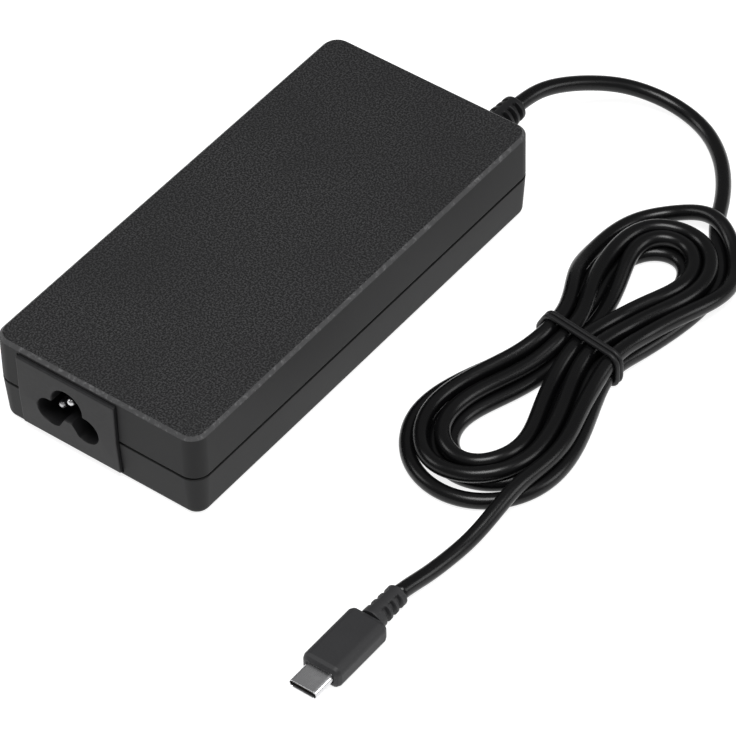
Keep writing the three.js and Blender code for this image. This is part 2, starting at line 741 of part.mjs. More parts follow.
// Ferrite core with open windows on two sides and a round middle post.
function ferriteCore({ width, depth, height, leg, post: postRadius }) {
  const frame = boxOn(0, 0, width, depth, 0, height);
  const window = boxOn(0, 0, width - 2 * leg, depth + 2 * overshoot, leg, height - leg);
  const middle = post(0, 0, 2 * postRadius, leg / 2, height - leg / 2, 16);
  return join(cut(frame, window), middle);
}

function coreWinding({ width, height, leg, post: postRadius }) {
  const inner = postRadius + clearance;
  const outer = width / 2 - leg - clearance;
  const span = height - 2 * leg - 2 * clearance;
  const profile = [[inner, 0], [outer, 0], [outer, span], [inner, span], [inner, 0]];
  const points = profile.map(([r, h]) => new THREE.Vector2(r, h));
  const coil = new THREE.LatheGeometry(points, 20).rotateX(Math.PI / 2);
  return toSpan(coil, leg + clearance, height - leg - clearance);
}

function bulkCan(a) {
  const radius = (partCeiling - partBase - bulkCapacitor.topGap) / 2;
  const { length } = bulkCapacitor;
  const groove = radius - can.crimpDepth;
  const [crimpStart, grooveStart, grooveEnd, crimpEnd] = can.crimp;
  const profile = [
    [0, 0], [0, radius - can.rim], [can.rim, radius], [crimpStart, radius],
    [grooveStart, groove], [grooveEnd, groove], [crimpEnd, radius],
    [length - can.rim, radius], [length, radius - can.rim], [length, 0],
  ];
  const start = along(bulkCapacitor.along) - length / 2;
  return turnedAlongY(profile, across(a), start, partBase + radius, 20);
}

function heatSink({ across: a, along: l, thickness, length, topGap }) {
  const side = Math.sign(a);
  const x = across(a);
  const plate = boxOn(x, along(l), thickness, length, partBase, partCeiling - topGap);
  const footX = x - side * sinkFootWidth / 2;
  const foot = boxOn(footX, along(l), sinkFootWidth, length / 3, partBase, partBase + thickness);
  return join(plate, foot);
}

// Power transistor with its back against the inner face of a heat sink.
function sinkTransistor(sink, l) {
  const side = Math.sign(sink.across);
  const back = across(sink.across) - side * (sink.thickness / 2 + clearance);
  const x = back - side * transistor.depth / 2;
  const z0 = partBase + sink.thickness + clearance;
  const body = boxOn(x, along(l), transistor.depth, transistor.width, z0, z0 + transistor.bodyHeight);
  const tabX = back - side * transistor.tab / 2;
  const tab = boxOn(tabX, along(l), transistor.tab, transistor.width, z0, z0 + transistor.height);
  return join(body, tab);
}

function canStanding({ diameter, height }, a, l) {
  const radius = diameter / 2;
  const { vent } = can;
  const profile = [
    [0, 0], [radius - vent, 0], [radius, vent], [radius, height - vent], [radius - vent, height], [0, height],
  ];
  const points = profile.map(([r, h]) => new THREE.Vector2(r, h));
  const body = new THREE.LatheGeometry(points, 16).rotateX(Math.PI / 2);
  return toSpan(body, partBase, partBase + height).translate(across(a), along(l), 0);
}

function controlPlate() {
  const { across: a, along: l, width, thickness, height } = controlBoard;
  return boxOn(across(a), along(l), width, thickness, partBase, partBase + height);
}

function controllerBody() {
  const y = along(controlBoard.along) - controlBoard.thickness / 2 - clearance - controllerChip.thickness / 2;
  const z = partBase + controlBoard.height / 2;
  const { size, thickness } = controllerChip;
  return boxOn(across(controlBoard.across), y, size, thickness, z - size / 2, z + size / 2);
}

// ---------------------------------------------------------------- USB-C plug

function oval(width, height) {
  const shape = new THREE.Shape();
  const radius = height / 2;
  const flat = width / 2 - radius;
  shape.absarc(flat, 0, radius, -Math.PI / 2, Math.PI / 2);
  shape.absarc(-flat, 0, radius, Math.PI / 2, 1.5 * Math.PI);
  shape.closePath();
  return shape;
}

// Block along Y with rounded long edges and softened ends, centred on the plug's axis.
function plugBlock(width, height, round, endRound, rear, front) {
  const length = rear - front;
  const levels = [[endRound, 0], [endRound * 0.3, endRound * 0.3], [0, endRound]];
  const rings = [
    ...levels.map(([inset, h]) => [inset, h]),
    ...levels.slice().reverse().map(([inset, h]) => [inset, length - h]),
  ].map(([inset, h]) => ring(width / 2 - inset, height / 2 - inset, Math.max(round - inset, 0.3), h, 4));
  return loft(rings).rotateX(Math.PI / 2).translate(plug.x, rear, plugZ);
}

function plugBody() {
  const { width, height, sideRound, endRound } = plug.body;
  const block = plugBlock(width, height, sideRound, endRound, plugBodyRear, plugBodyFront);
  const { shell } = plug;
  const shellPocket = prismAlongY(
    oval(shell.width + 2 * smallClearance, shell.height + 2 * smallClearance),
    plugBodyFront - overshoot, shellRear + smallClearance,
  ).translate(plug.x, 0, plugZ);
  const half = plug.board.width / 2 + smallClearance;
  const boardPocket = box(
    plug.x - half, plug.x + half, shellRear - smallClearance, shellRear + plug.board.length + 2 * clearance,
    plugZ - plug.board.thickness / 2 - smallClearance, plugZ + plug.board.thickness / 2 + smallClearance,
  );
  return cut(block, shellPocket, boardPocket);
}

function plugRelief() {
  const { rearY, length, rearDiameter, frontDiameter, rearChamfer } = plug.relief;
  const front = rearY - length + clearance;
  const rearRadius = rearDiameter / 2;
  const frontRadius = frontDiameter / 2;
  const span = rearY - front;
  const solid = turnedAlongY([
    [0, 0], [0, frontRadius], [span - rearChamfer, rearRadius], [span, rearRadius - rearChamfer], [span, 0],
  ], plug.x, front, plugZ, 20);
  const middles = Array.from({ length: plug.slotCount }, (_, i) => {
    const distance = plug.firstSlot + i * plug.slotPitch;
    return { y: rearY - distance, radius: THREE.MathUtils.lerp(rearRadius, frontRadius, distance / length) };
  });
  const slots = sideSlots({
    x: plug.x, z: plugZ, middles, width: plug.slotWidth, reach: overshoot,
    depth: plug.slotDepth, bridge: plug.bridgeWidth,
  });
  return cut(solid, ...slots);
}

function plugShell() {
  const { width, height, wall } = plug.shell;
  const outer = prismAlongY(oval(width, height), shellFront, shellRear, 8);
  const inner = prismAlongY(
    oval(width - 2 * wall, height - 2 * wall), shellFront - overshoot, shellRear + overshoot, 8,
  );
  return cut(outer, inner).translate(plug.x, 0, plugZ);
}

// Moulded carrier inside the shell: a solid rear and two shelves that hold the contact rows.
function contactCarrier() {
  const inset = plug.shell.wall + smallClearance;
  const shape = oval(plug.shell.width - 2 * inset, plug.shell.height - 2 * inset);
  const front = shellFront + smallClearance;
  const block = prismAlongY(shape, front, shellRear, 6).translate(plug.x, 0, plugZ);
  const half = plug.shell.width / 2;
  const mouth = box(
    plug.x - half, plug.x + half, front - overshoot, front + plug.mouth.depth,
    plugZ - plug.mouth.gap / 2, plugZ + plug.mouth.gap / 2,
  );
  return cut(block, mouth);
}

// Row of contact beams held in one strip, above or below the mouth.
function contactRow(side) {
  const { count, pitch, width, thickness, length, setback } = plug.contact;
  const outer = plugZ + side * (plug.mouth.gap / 2 - smallClearance / 2);
  const inner = outer - side * thickness;
  const z0 = Math.min(outer, inner);
  const z1 = Math.max(outer, inner);
  const front = shellFront + setback;
  const stripY = front + length;
  const stripEnd = shellFront + plug.mouth.depth;
  const span = (count - 1) * pitch / 2 + width / 2;
  const strip = box(plug.x - span, plug.x + span, stripY, stripEnd, z0, z1);
  const beams = Array.from({ length: count }, (_, i) => {
    const x = plug.x + (i - (count - 1) / 2) * pitch;
    return box(x - width / 2, x + width / 2, front, stripY + smallClearance, z0, z1);
  });
  return join(strip, ...beams);
}

// Side latch: a flat spring with a hook at its free end that holds on to the socket's tongue.
function latchSpring(side) {
  const { thickness, height, offset, hook, setback } = plug.latch;
  const y0 = shellFront + setback;
  const y1 = shellFront + plug.mouth.depth;
  const arm = box(0, thickness, y0, y1, -height / 2, height / 2);
  const barb = box(-hook, thickness / 2, y0, y0 + 4 * thickness, -height / 2, height / 2);
  const spring = join(arm, barb);
  const turned = side > 0 ? spring : mirrored(spring);
  return turned.translate(plug.x + side * offset, 0, plugZ);
}

// Copy of a solid reflected across X = 0, faces still looking out.
function mirrored(geometry) {
  return toGeometry(toSolid(geometry).mirror([1, 0, 0]));
}

function plugBoard() {
  const { width, length, thickness } = plug.board;
  const y0 = shellRear + clearance;
  return boxOn(plug.x, y0 + length / 2, width, length, plugZ - thickness / 2, plugZ + thickness / 2);
}

// ---------------------------------------------------------------- cord

// Outline of the hank: two round ends and a pinched waist, grown outwards by grow.
function hankOutline(grow) {
  const loop = hank.loopHalf + grow;
  const waist = hank.waistHalf + grow;
  const { x, waistY, upperY, lowerY } = hank;
  const upperPull = (upperY - waistY) * hank.pull;
  const lowerPull = (waistY - lowerY) * hank.pull;
  const shape = new THREE.Shape();
  shape.moveTo(x + loop, upperY);
  shape.absarc(x, upperY, loop, 0, Math.PI);
  shape.bezierCurveTo(x - loop, upperY - upperPull, x - waist, waistY + upperPull, x - waist, waistY);
  shape.bezierCurveTo(x - waist, waistY - lowerPull, x - loop, lowerY + lowerPull, x - loop, lowerY);
  shape.absarc(x, lowerY, loop, Math.PI, 2 * Math.PI);
  shape.bezierCurveTo(x + loop, lowerY + lowerPull, x + waist, waistY - lowerPull, x + waist, waistY);
  shape.bezierCurveTo(x + waist, waistY + upperPull, x + loop, upperY - upperPull, x + loop, upperY);
  return shape;
}

function hankSolid() {
  const whole = prism(hankOutline(0), 0, hank.height, 12);
  const reach = tie.width / 2 + clearance;
  const wide = hank.loopHalf + overshoot;
  const slice = boxOn(hank.x, hank.waistY, 2 * wide, 2 * reach, -overshoot, hank.height + overshoot);
  const kept = boxOn(
    hank.x, hank.waistY, 2 * hank.waistHalf, 2 * reach + 2 * overshoot, hank.waistBottom, hank.waistTop,
  );
  return cut(whole, cut(slice, kept));
}

// The tie as one flat band round the waist.
function tieBand() {
  const inner = {
    half: hank.waistHalf + clearance,
    z0: hank.waistBottom - clearance,
    z1: hank.waistTop + clearance,
  };
  const outerHalf = inner.half + tie.thickness;
  const z0 = tie.groundGap;
  const z1 = inner.z1 + tie.thickness;
  const outline = roundedRectangle(2 * outerHalf, z1 - z0, tie.outerRound);
  const band = prismAlongY(outline, -tie.width / 2, tie.width / 2, 4);
  const hole = prismAlongY(
    roundedRectangle(2 * inner.half, inner.z1 - inner.z0, tie.innerRound), -tie.width, tie.width, 3,
  ).translate(0, 0, (inner.z0 + inner.z1) / 2 - (z0 + z1) / 2);
  return cut(band, hole).translate(hank.x, hank.waistY, (z0 + z1) / 2);
}

// A free stretch of the cord, cut off square to the hank where it runs into it.
function freeCord(points, steps) {
  const whole = tube(points, cord.diameter, steps, cord.sides / 2);
  return cut(whole, prism(hankOutline(clearance), -overshoot, hank.height + overshoot, 12));
}

// ---------------------------------------------------------------- assembly

add('upper_housing', upperHousing(), 'housing');
add('lower_housing', lowerHousing(), 'housing');
add('rating_label', ratingLabel(), 'paper');
add('inlet_body', inletBody(), 'inletPlastic');

const leadColours = { live: 'brownWire', neutral: 'blueWire', earth: 'greenWire' };
const leadReaches = { live: 2.2, neutral: 2.2, earth: 3.6 };
for (const pin of pinPlaces()) {
  add(`inlet_pin_${pin.name}`, inletPin(pin), 'bareMetal');
  add(`inlet_lead_${pin.name}`, inletLead(pin, leadReaches[pin.name]), leadColours[pin.name]);
}

add('output_strain_relief', outletRelief(), 'rubber');
add('output_wire_positive', outputWire(outlet.wireOffset, 0, outlet.wireDiameter), 'redWire');
add('output_wire_return', outputWire(-outlet.wireOffset, 0, outlet.wireDiameter), 'film');
add('output_wire_signal', outputWire(0, outlet.signalRise, outlet.signalWireDiameter), 'greenWire');

add('main_board', mainBoard(), 'board');
add('upper_heat_spreader', upperSpreader(), 'aluminium');
add('lower_heat_spreader', lowerSpreader(), 'aluminium');
add('insulation_sheet', insulationSheet(), 'film');

add('fuse', fuseBody(), 'ceramic');
add('inrush_thermistor', discPart(thermistor), 'greenCoating');
add('film_capacitor', brick(filmCapacitor), 'yellowPlastic');
add('mains_choke_core', toroidCore(mainsChoke), 'ferrite');
add('mains_choke_winding_live', toroidWinding(mainsChoke, 0), 'copper');
add('mains_choke_winding_neutral', toroidWinding(mainsChoke, Math.PI), 'copper');
add('bridge_rectifier', brick(bridge), 'chip');

const boostPlace = [across(boostInductor.across), along(boostInductor.along), partBase];
const boostCore = ferriteCore(boostInductor).rotateZ(Math.PI / 2);
add('boost_inductor_core', boostCore.translate(...boostPlace), 'ferrite');
add('boost_inductor_winding', coreWinding(boostInductor).translate(...boostPlace), 'copper');
bulkCapacitor.across.forEach((a, i) => add(`bulk_capacitor_${i + 1}`, bulkCan(a), 'capacitorSleeve'));
add('primary_heat_sink', heatSink(primarySink), 'aluminium');
add('boost_transistor', sinkTransistor(primarySink, transistor.along[0]), 'chip');
add('main_transistor', sinkTransistor(primarySink, transistor.along[1]), 'chip');

const transformerHeight = partCeiling - partBase - gapPad.thickness - clearance;
const transformerPlace = [across(transformer.across), along(transformer.along)];
const transformerSizes = { ...transformer, height: transformerHeight };
add('transformer_core', ferriteCore(transformerSizes).translate(...transformerPlace, partBase), 'ferrite');
add('transformer_winding', coreWinding(transformerSizes).translate(...transformerPlace, partBase), 'tape');
add('gap_pad', boxOn(
  ...transformerPlace, transformer.width - gapPad.inset, transformer.depth - gapPad.inset,
  partBase + transformerHeight + clearance, partCeiling,
), 'silicone');

add('safety_capacitor', discPart(safetyCapacitor, true), 'blueCoating');
optoCoupler.along.forEach((l, i) => {
  const sizes = { across: optoCoupler.across, along: l, width: optoCoupler.width, depth: optoCoupler.length };
  add(`opto_coupler_${i + 1}`, brick({ ...sizes, height: optoCoupler.height }, 0.4), 'chip');
});
add('secondary_heat_sink', heatSink(secondarySink), 'aluminium');
add('rectifier_transistor', sinkTransistor(secondarySink, rectifierAlong), 'chip');
outputCapacitor.across.forEach((a, i) => {
  add(`output_capacitor_${i + 1}`, canStanding(outputCapacitor, a, outputCapacitor.along), 'bareMetal');
});
add('output_choke_core', toroidCore(outputChoke), 'ferrite');
add('output_choke_winding', toroidWinding(outputChoke, -Math.PI / 2), 'copper');
add('control_board', controlPlate(), 'board');
add('controller_chip', controllerBody(), 'chip');

add('lead_out_cord', freeCord(leadOutPoints, 34), 'cordJacket');
add('cord_hank', hankSolid(), 'cordJacket');
add('cord_tie', tieBand(), 'rubber');
add('plug_lead_cord', freeCord(plugLeadPoints, 14), 'cordJacket');
add('plug_strain_relief', plugRelief(), 'plugPlastic');
add('plug_body', plugBody(), 'plugPlastic');
add('plug_shell', plugShell(), 'bareMetal');
add('contact_carrier', contactCarrier(), 'chip');
add('contact_row_upper', contactRow(1), 'gold');
add('contact_row_lower', contactRow(-1), 'gold');
add('latch_spring_left', latchSpring(-1), 'bareMetal');
add('latch_spring_right', latchSpring(1), 'bareMetal');
add('plug_board', plugBoard(), 'board');

export default adapter;
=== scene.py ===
# Laptop power adapter with its cord in a hank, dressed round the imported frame.
import json
import math

import bmesh
import bpy
import numpy as np
from mathutils import Matrix, Vector


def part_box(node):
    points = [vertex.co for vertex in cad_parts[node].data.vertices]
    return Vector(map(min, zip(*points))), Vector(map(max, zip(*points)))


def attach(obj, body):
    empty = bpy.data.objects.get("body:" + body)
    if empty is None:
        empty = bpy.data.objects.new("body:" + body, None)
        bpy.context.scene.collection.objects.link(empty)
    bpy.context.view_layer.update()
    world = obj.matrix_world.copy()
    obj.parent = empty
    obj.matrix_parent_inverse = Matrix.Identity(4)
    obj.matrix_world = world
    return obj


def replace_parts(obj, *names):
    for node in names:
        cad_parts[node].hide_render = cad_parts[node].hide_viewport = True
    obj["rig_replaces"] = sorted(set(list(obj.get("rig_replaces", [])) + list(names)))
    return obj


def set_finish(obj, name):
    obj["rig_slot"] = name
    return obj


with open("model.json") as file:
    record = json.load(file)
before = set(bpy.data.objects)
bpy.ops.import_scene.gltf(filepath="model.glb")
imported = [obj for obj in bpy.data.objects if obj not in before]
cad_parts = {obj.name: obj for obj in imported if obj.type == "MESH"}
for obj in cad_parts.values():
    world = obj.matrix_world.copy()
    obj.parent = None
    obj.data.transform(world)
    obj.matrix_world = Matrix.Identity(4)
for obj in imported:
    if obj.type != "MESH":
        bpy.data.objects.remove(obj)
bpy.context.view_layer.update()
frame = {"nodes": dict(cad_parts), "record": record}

mm = 0.001
lidLow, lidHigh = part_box("upper_housing")
nodes = frame["nodes"]

# Small helpers for numbers.


def eased(t):
    t = np.clip(t, 0.0, 1.0)
    return t * t * (3 - 2 * t)


def softened(points, radius, steps=4):
    # The same open outline with each inner corner rounded; one that is nearly straight stays.
    nearlyStraight = math.radians(176)
    points = [np.array(p, float) for p in points]
    out = [points[0]]
    for before, corner, after in zip(points, points[1:], points[2:]):
        inward = before - corner
        onward = after - corner
        lengthIn = np.linalg.norm(inward)
        lengthOn = np.linalg.norm(onward)
        inward = inward / lengthIn
        onward = onward / lengthOn
        angle = math.acos(np.clip(np.dot(inward, onward), -1, 1))
        if angle > nearlyStraight:
            out.append(corner)
            continue
        back = min(radius / math.tan(angle / 2), 0.45 * lengthIn, 0.45 * lengthOn)
        first = corner + inward * back
        last = corner + onward * back
        for step in range(steps + 1):
            t = step / steps
            out.append(first * (1 - t) ** 2 + corner * 2 * t * (1 - t) + last * t * t)
    out.append(points[-1])
    return out


def smoothLine(points, perSpan):
    # A smooth line through given points, with perSpan steps from each to the next.
    p = np.array(points, float)
    p = np.vstack([2 * p[0] - p[1], p, 2 * p[-1] - p[-2]])
    out = []
    for i in range(1, len(p) - 2):
        t = np.linspace(0, 1, perSpan, endpoint=False)[:, None]
        a = 2 * p[i]
        b = p[i + 1] - p[i - 1]
        c = 2 * p[i - 1] - 5 * p[i] + 4 * p[i + 1] - p[i + 2]
        d = -p[i - 1] + 3 * p[i] - 3 * p[i + 1] + p[i + 2]
        out.append(0.5 * (a + b * t + c * t**2 + d * t**3))
    out.append(p[-2][None, :])
    return np.vstack(out)


def distances(line):
    return np.concatenate([[0], np.cumsum(np.linalg.norm(np.diff(line, axis=0), axis=1))])


def evenly(line, step):
    run = distances(line)
    places = np.linspace(0, run[-1], int(round(run[-1] / step)) + 1)
    return np.stack([np.interp(places, run, line[:, k]) for k in range(3)], axis=1)


# Camera.

cameraView = {
    "target": (34.1 * mm, -3.2 * mm, 1.4 * mm),
    "distance": 1219 * mm,
    "azimuth": -38.5,
    "elevation": 45.1,
    "roll": -1.83,
    "lens": 234.8,
}


def addObject(name, data):
    made = bpy.data.objects.new(name, data)
    bpy.context.scene.collection.objects.link(made)
    return made


def facing(place, ahead):
    # The matrix of a camera or lamp at that place that looks ahead.
    return Matrix.Translation(place) @ ahead.to_track_quat("-Z", "Y").to_matrix().to_4x4()


def addCamera(view):
    data = bpy.data.cameras.new("camera")
    data.lens = view["lens"]
    data.sensor_width = 36
    data.clip_start = 0.05
    data.clip_end = 20
    camera = addObject("camera", data)
    azimuth = math.radians(view["azimuth"])
    elevation = math.radians(view["elevation"])
    ahead = Vector((
        math.sin(azimuth) * math.cos(elevation),
        math.cos(azimuth) * math.cos(elevation),
        -math.sin(elevation),
    ))
    level = facing(Vector(view["target"]) - ahead * view["distance"], ahead)
    camera.matrix_world = level @ Matrix.Rotation(math.radians(view["roll"]), 4, "Z")
    bpy.context.scene.camera = camera


addCamera(cameraView)
print("camera placed")

# Helpers that make meshes.


def addMesh(name, points, faces, **finish):
    mesh = bpy.data.meshes.new(name)
    mesh.from_pydata([tuple(p) for p in points], [], [tuple(f) for f in faces])
    mesh.validate()
    work = bmesh.new()
    work.from_mesh(mesh)
    bmesh.ops.recalc_face_normals(work, faces=work.faces)
    work.to_mesh(mesh)
    work.free()
    piece = addObject(name, mesh)
    finishMesh(piece, **finish)
    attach(piece, "root")
    return piece


def finishMesh(piece, sharp=35, weighted=True):
    # Smooth faces, with edges of more than sharp degrees left crisp.
    piece.data.shade_smooth()
    piece.data.set_sharp_from_angle(angle=math.radians(sharp))
    if weighted:
        even = piece.modifiers.new("even faces", "WEIGHTED_NORMAL")
        even.keep_sharp = True
        even.weight = 100


def stacked(rings, ends="capped"):
    # Points and faces of a skin through rings of equal length, its ends capped or joined.
    count = len(rings[0])
    points = [p for ring in rings for p in ring]
    starts = [level * count for level in range(len(rings))]
    spans = list(zip(starts, starts[1:]))
    if ends == "joined":
        spans.append((starts[-1], 0))
    faces = []
    for a, b in spans:
        for i in range(count):
            j = (i + 1) % count
            faces.append((a + i, a + j, b + j, b + i))
    if ends == "capped":
        faces.append(tuple(range(count - 1, -1, -1)))
        faces.append(tuple(range(starts[-1], starts[-1] + count)))
    return points, faces


def roundedOutline(halfX, halfY, radius, steps):
    # A rectangle's outline with round corners, about its middle.
    radius = max(min(radius, halfX * 0.999, halfY * 0.999), 0.02 * mm)
    out = []
    for corner in range(4):
        signX = 1 if corner in (0, 3) else -1
        signY = 1 if corner < 2 else -1
        for step in range(steps + 1):
            angle = (corner + step / steps) * math.pi / 2
            out.append((
                signX * (halfX - radius) + radius * math.cos(angle),
                signY * (halfY - radius) + radius * math.sin(angle),
            ))
    return out


def turned(name, profile, centre, sides=48):
    # A solid turned about an axis along Y; profile is (y, radius) from end to end.
    rings = []
    for y, radius in profile:
        radius = max(radius, 0.01 * mm)
        rings.append([
            (centre[0] + radius * math.cos(2 * math.pi * i / sides), y,
             centre[1] + radius * math.sin(2 * math.pi * i / sides))
            for i in range(sides)
        ])
    return addMesh(name, *stacked(rings))


def boxMesh(name, low, high):
    corners = [(x, y, z) for z in (low[2], high[2]) for y in (low[1], high[1]) for x in (low[0], high[0])]
    faces = [(0, 2, 3, 1), (4, 5, 7, 6), (0, 1, 5, 4), (2, 6, 7, 3), (0, 4, 6, 2), (1, 3, 7, 5)]
    return addMesh(name, corners, faces, weighted=False)


def carve(piece, *cutters, operation="DIFFERENCE"):
    # Cuts the cutters out of a piece, or joins them to it, and removes them.
    for cutter in cutters:
        step = piece.modifiers.new("carve", "BOOLEAN")
        step.operation = operation
        step.solver = "EXACT"
        step.object = cutter
    for even in [m for m in piece.modifiers if m.type == "WEIGHTED_NORMAL"]:
        piece.modifiers.remove(even)
    bpy.context.view_layer.update()
    solved = piece.evaluated_get(bpy.context.evaluated_depsgraph_get())
    carved = bpy.data.meshes.new_from_object(solved)
    piece.modifiers.clear()
    old = piece.data
    piece.data = carved
    bpy.data.meshes.remove(old)
    for cutter in cutters:
        bpy.data.objects.remove(cutter)
    finishMesh(piece)


def tubeMesh(name, line, radius, sides):
    # A round tube along a line, its section carried without twist, with softly rounded ends.
    endWidth, endBulge = 0.9, 0.06  # shares of the radius
    line = np.array(line, float)
    ahead = np.gradient(line, axis=0)
    ahead /= np.linalg.norm(ahead, axis=1)[:, None]
    side = np.cross(ahead[0], (0, 0, 1.0))
    angles = 2 * np.pi * np.arange(sides)[:, None] / sides
    rings = []
    for point, forward in zip(line, ahead):
        side = side - forward * np.dot(side, forward)
        side /= np.linalg.norm(side)
        up = np.cross(side, forward)
        rings.append(point + radius * (np.cos(angles) * side + np.sin(angles) * up))
    first = line[0] + endWidth * (rings[0] - line[0]) - endBulge * radius * ahead[0]
    last = line[-1] + endWidth * (rings[-1] - line[-1]) + endBulge * radius * ahead[-1]
    return addMesh(name, *stacked([first, *rings, last]), sharp=60, weighted=False)


# Cord: its sizes and route are in millimetres, its mesh in metres.

cordSizes = {
    "diameter": 4.2,
    "middleX": 75.2,
    "waistY": 31.5,
    "low": 2.15,         # centre height of a strand that lies on the surface
    "waistLow": 3.6,     # over the tie's underside
    "waistHigh": 7.5,
    "waistTop": 7.7,     # highest that the tie lets a strand's centre go
    "waistReach": 10.7,  # furthest that it lets one go from the middle
    "tieHalf": 3,        # how far along Y from the waist the tie holds the strands
    "liftedHalf": 11,    # how far along Y from the waist the tie lifts them
    "lowPasses": 5,      # that go through the tie under the others
    "hankFromX": 58,     # every strand beyond this belongs to the hank
    "heldStart": 6,      # the lead out stays as laid up to this far before its end
    "heldEnd": 44,       # of the cord at the plug, which stays as laid
    "step": 3.0,         # between points while the strands settle
    "fineStep": 1.25,    # between points of the finished line
    "smoothings": 8,     # rounds that take small kinks out of it
    "gap": 4.28,         # between centre lines where strands touch
}

settling = {
    "rounds": 260,
    "calmRounds": 60,  # at the end
    "calm": 0.25,      # strength of what moves the strands in them
    "sink": 0.02,
    "evening": 0.45,   # of the bend from point to point
    "push": 0.6,       # share of an overlap that a round takes away
}

leadOut = [
    (14.4, 88.0, 13.7), (15.1, 95.0, 13.5), (17.0, 100.6, 12.9), (21.4, 108.2, 11.0), (27.6, 115.4, 8.5),
    (33.8, 119.8, 6.0), (41.0, 122.0, 3.9), (48.6, 121.6, 2.6), (56.0, 118.6, 2.15), (63.4, 112.6, 2.15),
    (69.2, 105.4, 2.15), (73.2, 98.4, 2.15), (76.2, 91.6, 2.15), (79.2, 85.6, 2.15),
]
intoHank = [
    (83.4, 80.0, 2.15), (87.0, 74.0, 2.15), (89.4, 66.6, 2.15), (89.8, 58.2, 2.15), (88.6, 50.0, 2.3),
    (86.8, 42.0, 2.9), (86.0, 36.5, 3.4),
]
outOfHank = [
    (85.8, 31.5, 7.8), (87.0, 25.0, 7.5), (88.3, 17.5, 7.2), (89.5, 9.5, 7.0), (90.5, 1.5, 6.9),
    (91.2, -6.5, 6.9), (91.6, -13.5, 6.8), (91.6, -20.0, 6.2),
]
plugLead = [
    (91.6, -26.0, 5.2), (91.5, -32.0, 3.9), (91.0, -38.0, 2.7), (90.2, -44.0, 2.2),
    (89.4, -50.0, 2.15), (88.7, -54.4, 2.4), (88.2, -57.6, 2.9), (88.0, -59.9, 3.25),
    (87.9, -61.7, 3.35),
]

# Each pass round one loop: offset at the waist, half width going out, furthest y, half width coming
# back, offset at the waist again, and the height on the way out, at the end and on the way back.
passes = [
    (10.5, 19.0, -27.8, 20.2, -10.5, 2.15, 2.15, 2.15),
    (-10.5, 13.6, 79.6, 11.6, 6.3, 2.15, 2.15, 2.15),
    (6.3, 14.4, -21.0, 15.8, -6.3, 2.15, 2.15, 2.15),
    (-6.3, 10.2, 75.6, 8.8, 2.1, 2.15, 2.15, 2.15),
    (2.1, 10.4, -17.0, 11.4, -2.1, 2.15, 2.15, 2.15),
    (-2.1, 9.8, 77.0, 9.4, 0.0, 5.8, 6.1, 5.8),
    (0.0, 10.6, -18.0, 12.4, -4.2, 5.8, 5.8, 5.8),
    (-4.2, 13.8, 81.2, 12.8, 4.2, 5.8, 6.1, 5.8),
    (4.2, 14.0, -22.2, 17.6, -8.4, 5.8, 5.8, 5.8),
    (-8.4, 19.2, 90.6, 16.6, 10.6, 4.9, 7.2, 6.2),
]


def onePass(sizes, settings, first, last):
    # Points from the waist round a loop and back, first and last being the heights at the waist.
    start, goingOut, far, comingBack, finish, low, end, back = settings
    middle, waist = sizes["middleX"], sizes["waistY"]
    direction = 1 if far > waist else -1
    side = -1 if direction > 0 else 1
    radius = (goingOut + comingBack) / 2
    shift = side * (goingOut - comingBack) / 2
    turnY = far - direction * radius
    out = []
    for t in np.linspace(0, 1, 4, endpoint=False):
        ease = (1 - math.cos(math.pi * t)) / 2
        x = middle + start + (side * goingOut - start) * ease
        out.append((x, waist + (turnY - waist) * t, first + (low - first) * ease))
    for t in np.linspace(0, 1, 10):
        angle = math.pi * t
        z = np.interp(t, (0, 0.5, 1), (low, end, back))
        x = middle + shift + side * radius * math.cos(angle)
        out.append((x, turnY + direction * radius * math.sin(angle), z))
    for t in (0.25, 0.5, 0.75):
        ease = (1 - math.cos(math.pi * t)) / 2
        x = middle - side * comingBack + (finish + side * comingBack) * ease
        out.append((x, turnY + (waist - turnY) * t, back + (last - back) * ease))
    return out


def laidRoute(sizes):
    route = leadOut + intoHank
    for i, settings in enumerate(passes):
        first = sizes["waistLow"] if i <= sizes["lowPasses"] else sizes["waistHigh"]
        last = sizes["waistLow"] if i < sizes["lowPasses"] else sizes["waistHigh"]
        route += onePass(sizes, settings, first, last)
    route += outOfHank + plugLead
    return evenly(smoothLine(route, 12), sizes["step"])


def pushApart(place, free, pairs, gap, push):
    # Moves points of two strands away from each other where they are closer than the gap.
    one, other = pairs
    between = place[one] - place[other]
    far = np.sqrt((between**2).sum(1))
    close = far < gap
    i, j = one[close], other[close]
    reach = np.maximum(far[close], 1e-6)
    away = between[close] / reach[:, None] * (push * (gap - reach))[:, None]
    share = np.maximum(free[i] + free[j], 1e-6)
    move = np.zeros_like(place)
    touches = np.zeros(len(place))
    np.add.at(move, i, away * (free[i] / share)[:, None])
    np.add.at(move, j, -away * (free[j] / share)[:, None])
    np.add.at(touches, i, 1)
    np.add.at(touches, j, 1)
    place += move / np.maximum(touches, 1)[:, None]


def keepSpacing(place, free, spacing):
    # Brings neighbouring points back to the distance that they were laid at.
    along = place[1:] - place[:-1]
    size = np.linalg.norm(along, axis=1)
    slack = (size - spacing) / size * 0.5
    share = np.maximum(free[:-1] + free[1:], 1e-6)
    place[:-1] += along * (slack * free[:-1] / share)[:, None]
    place[1:] -= along * (slack * free[1:] / share)[:, None]


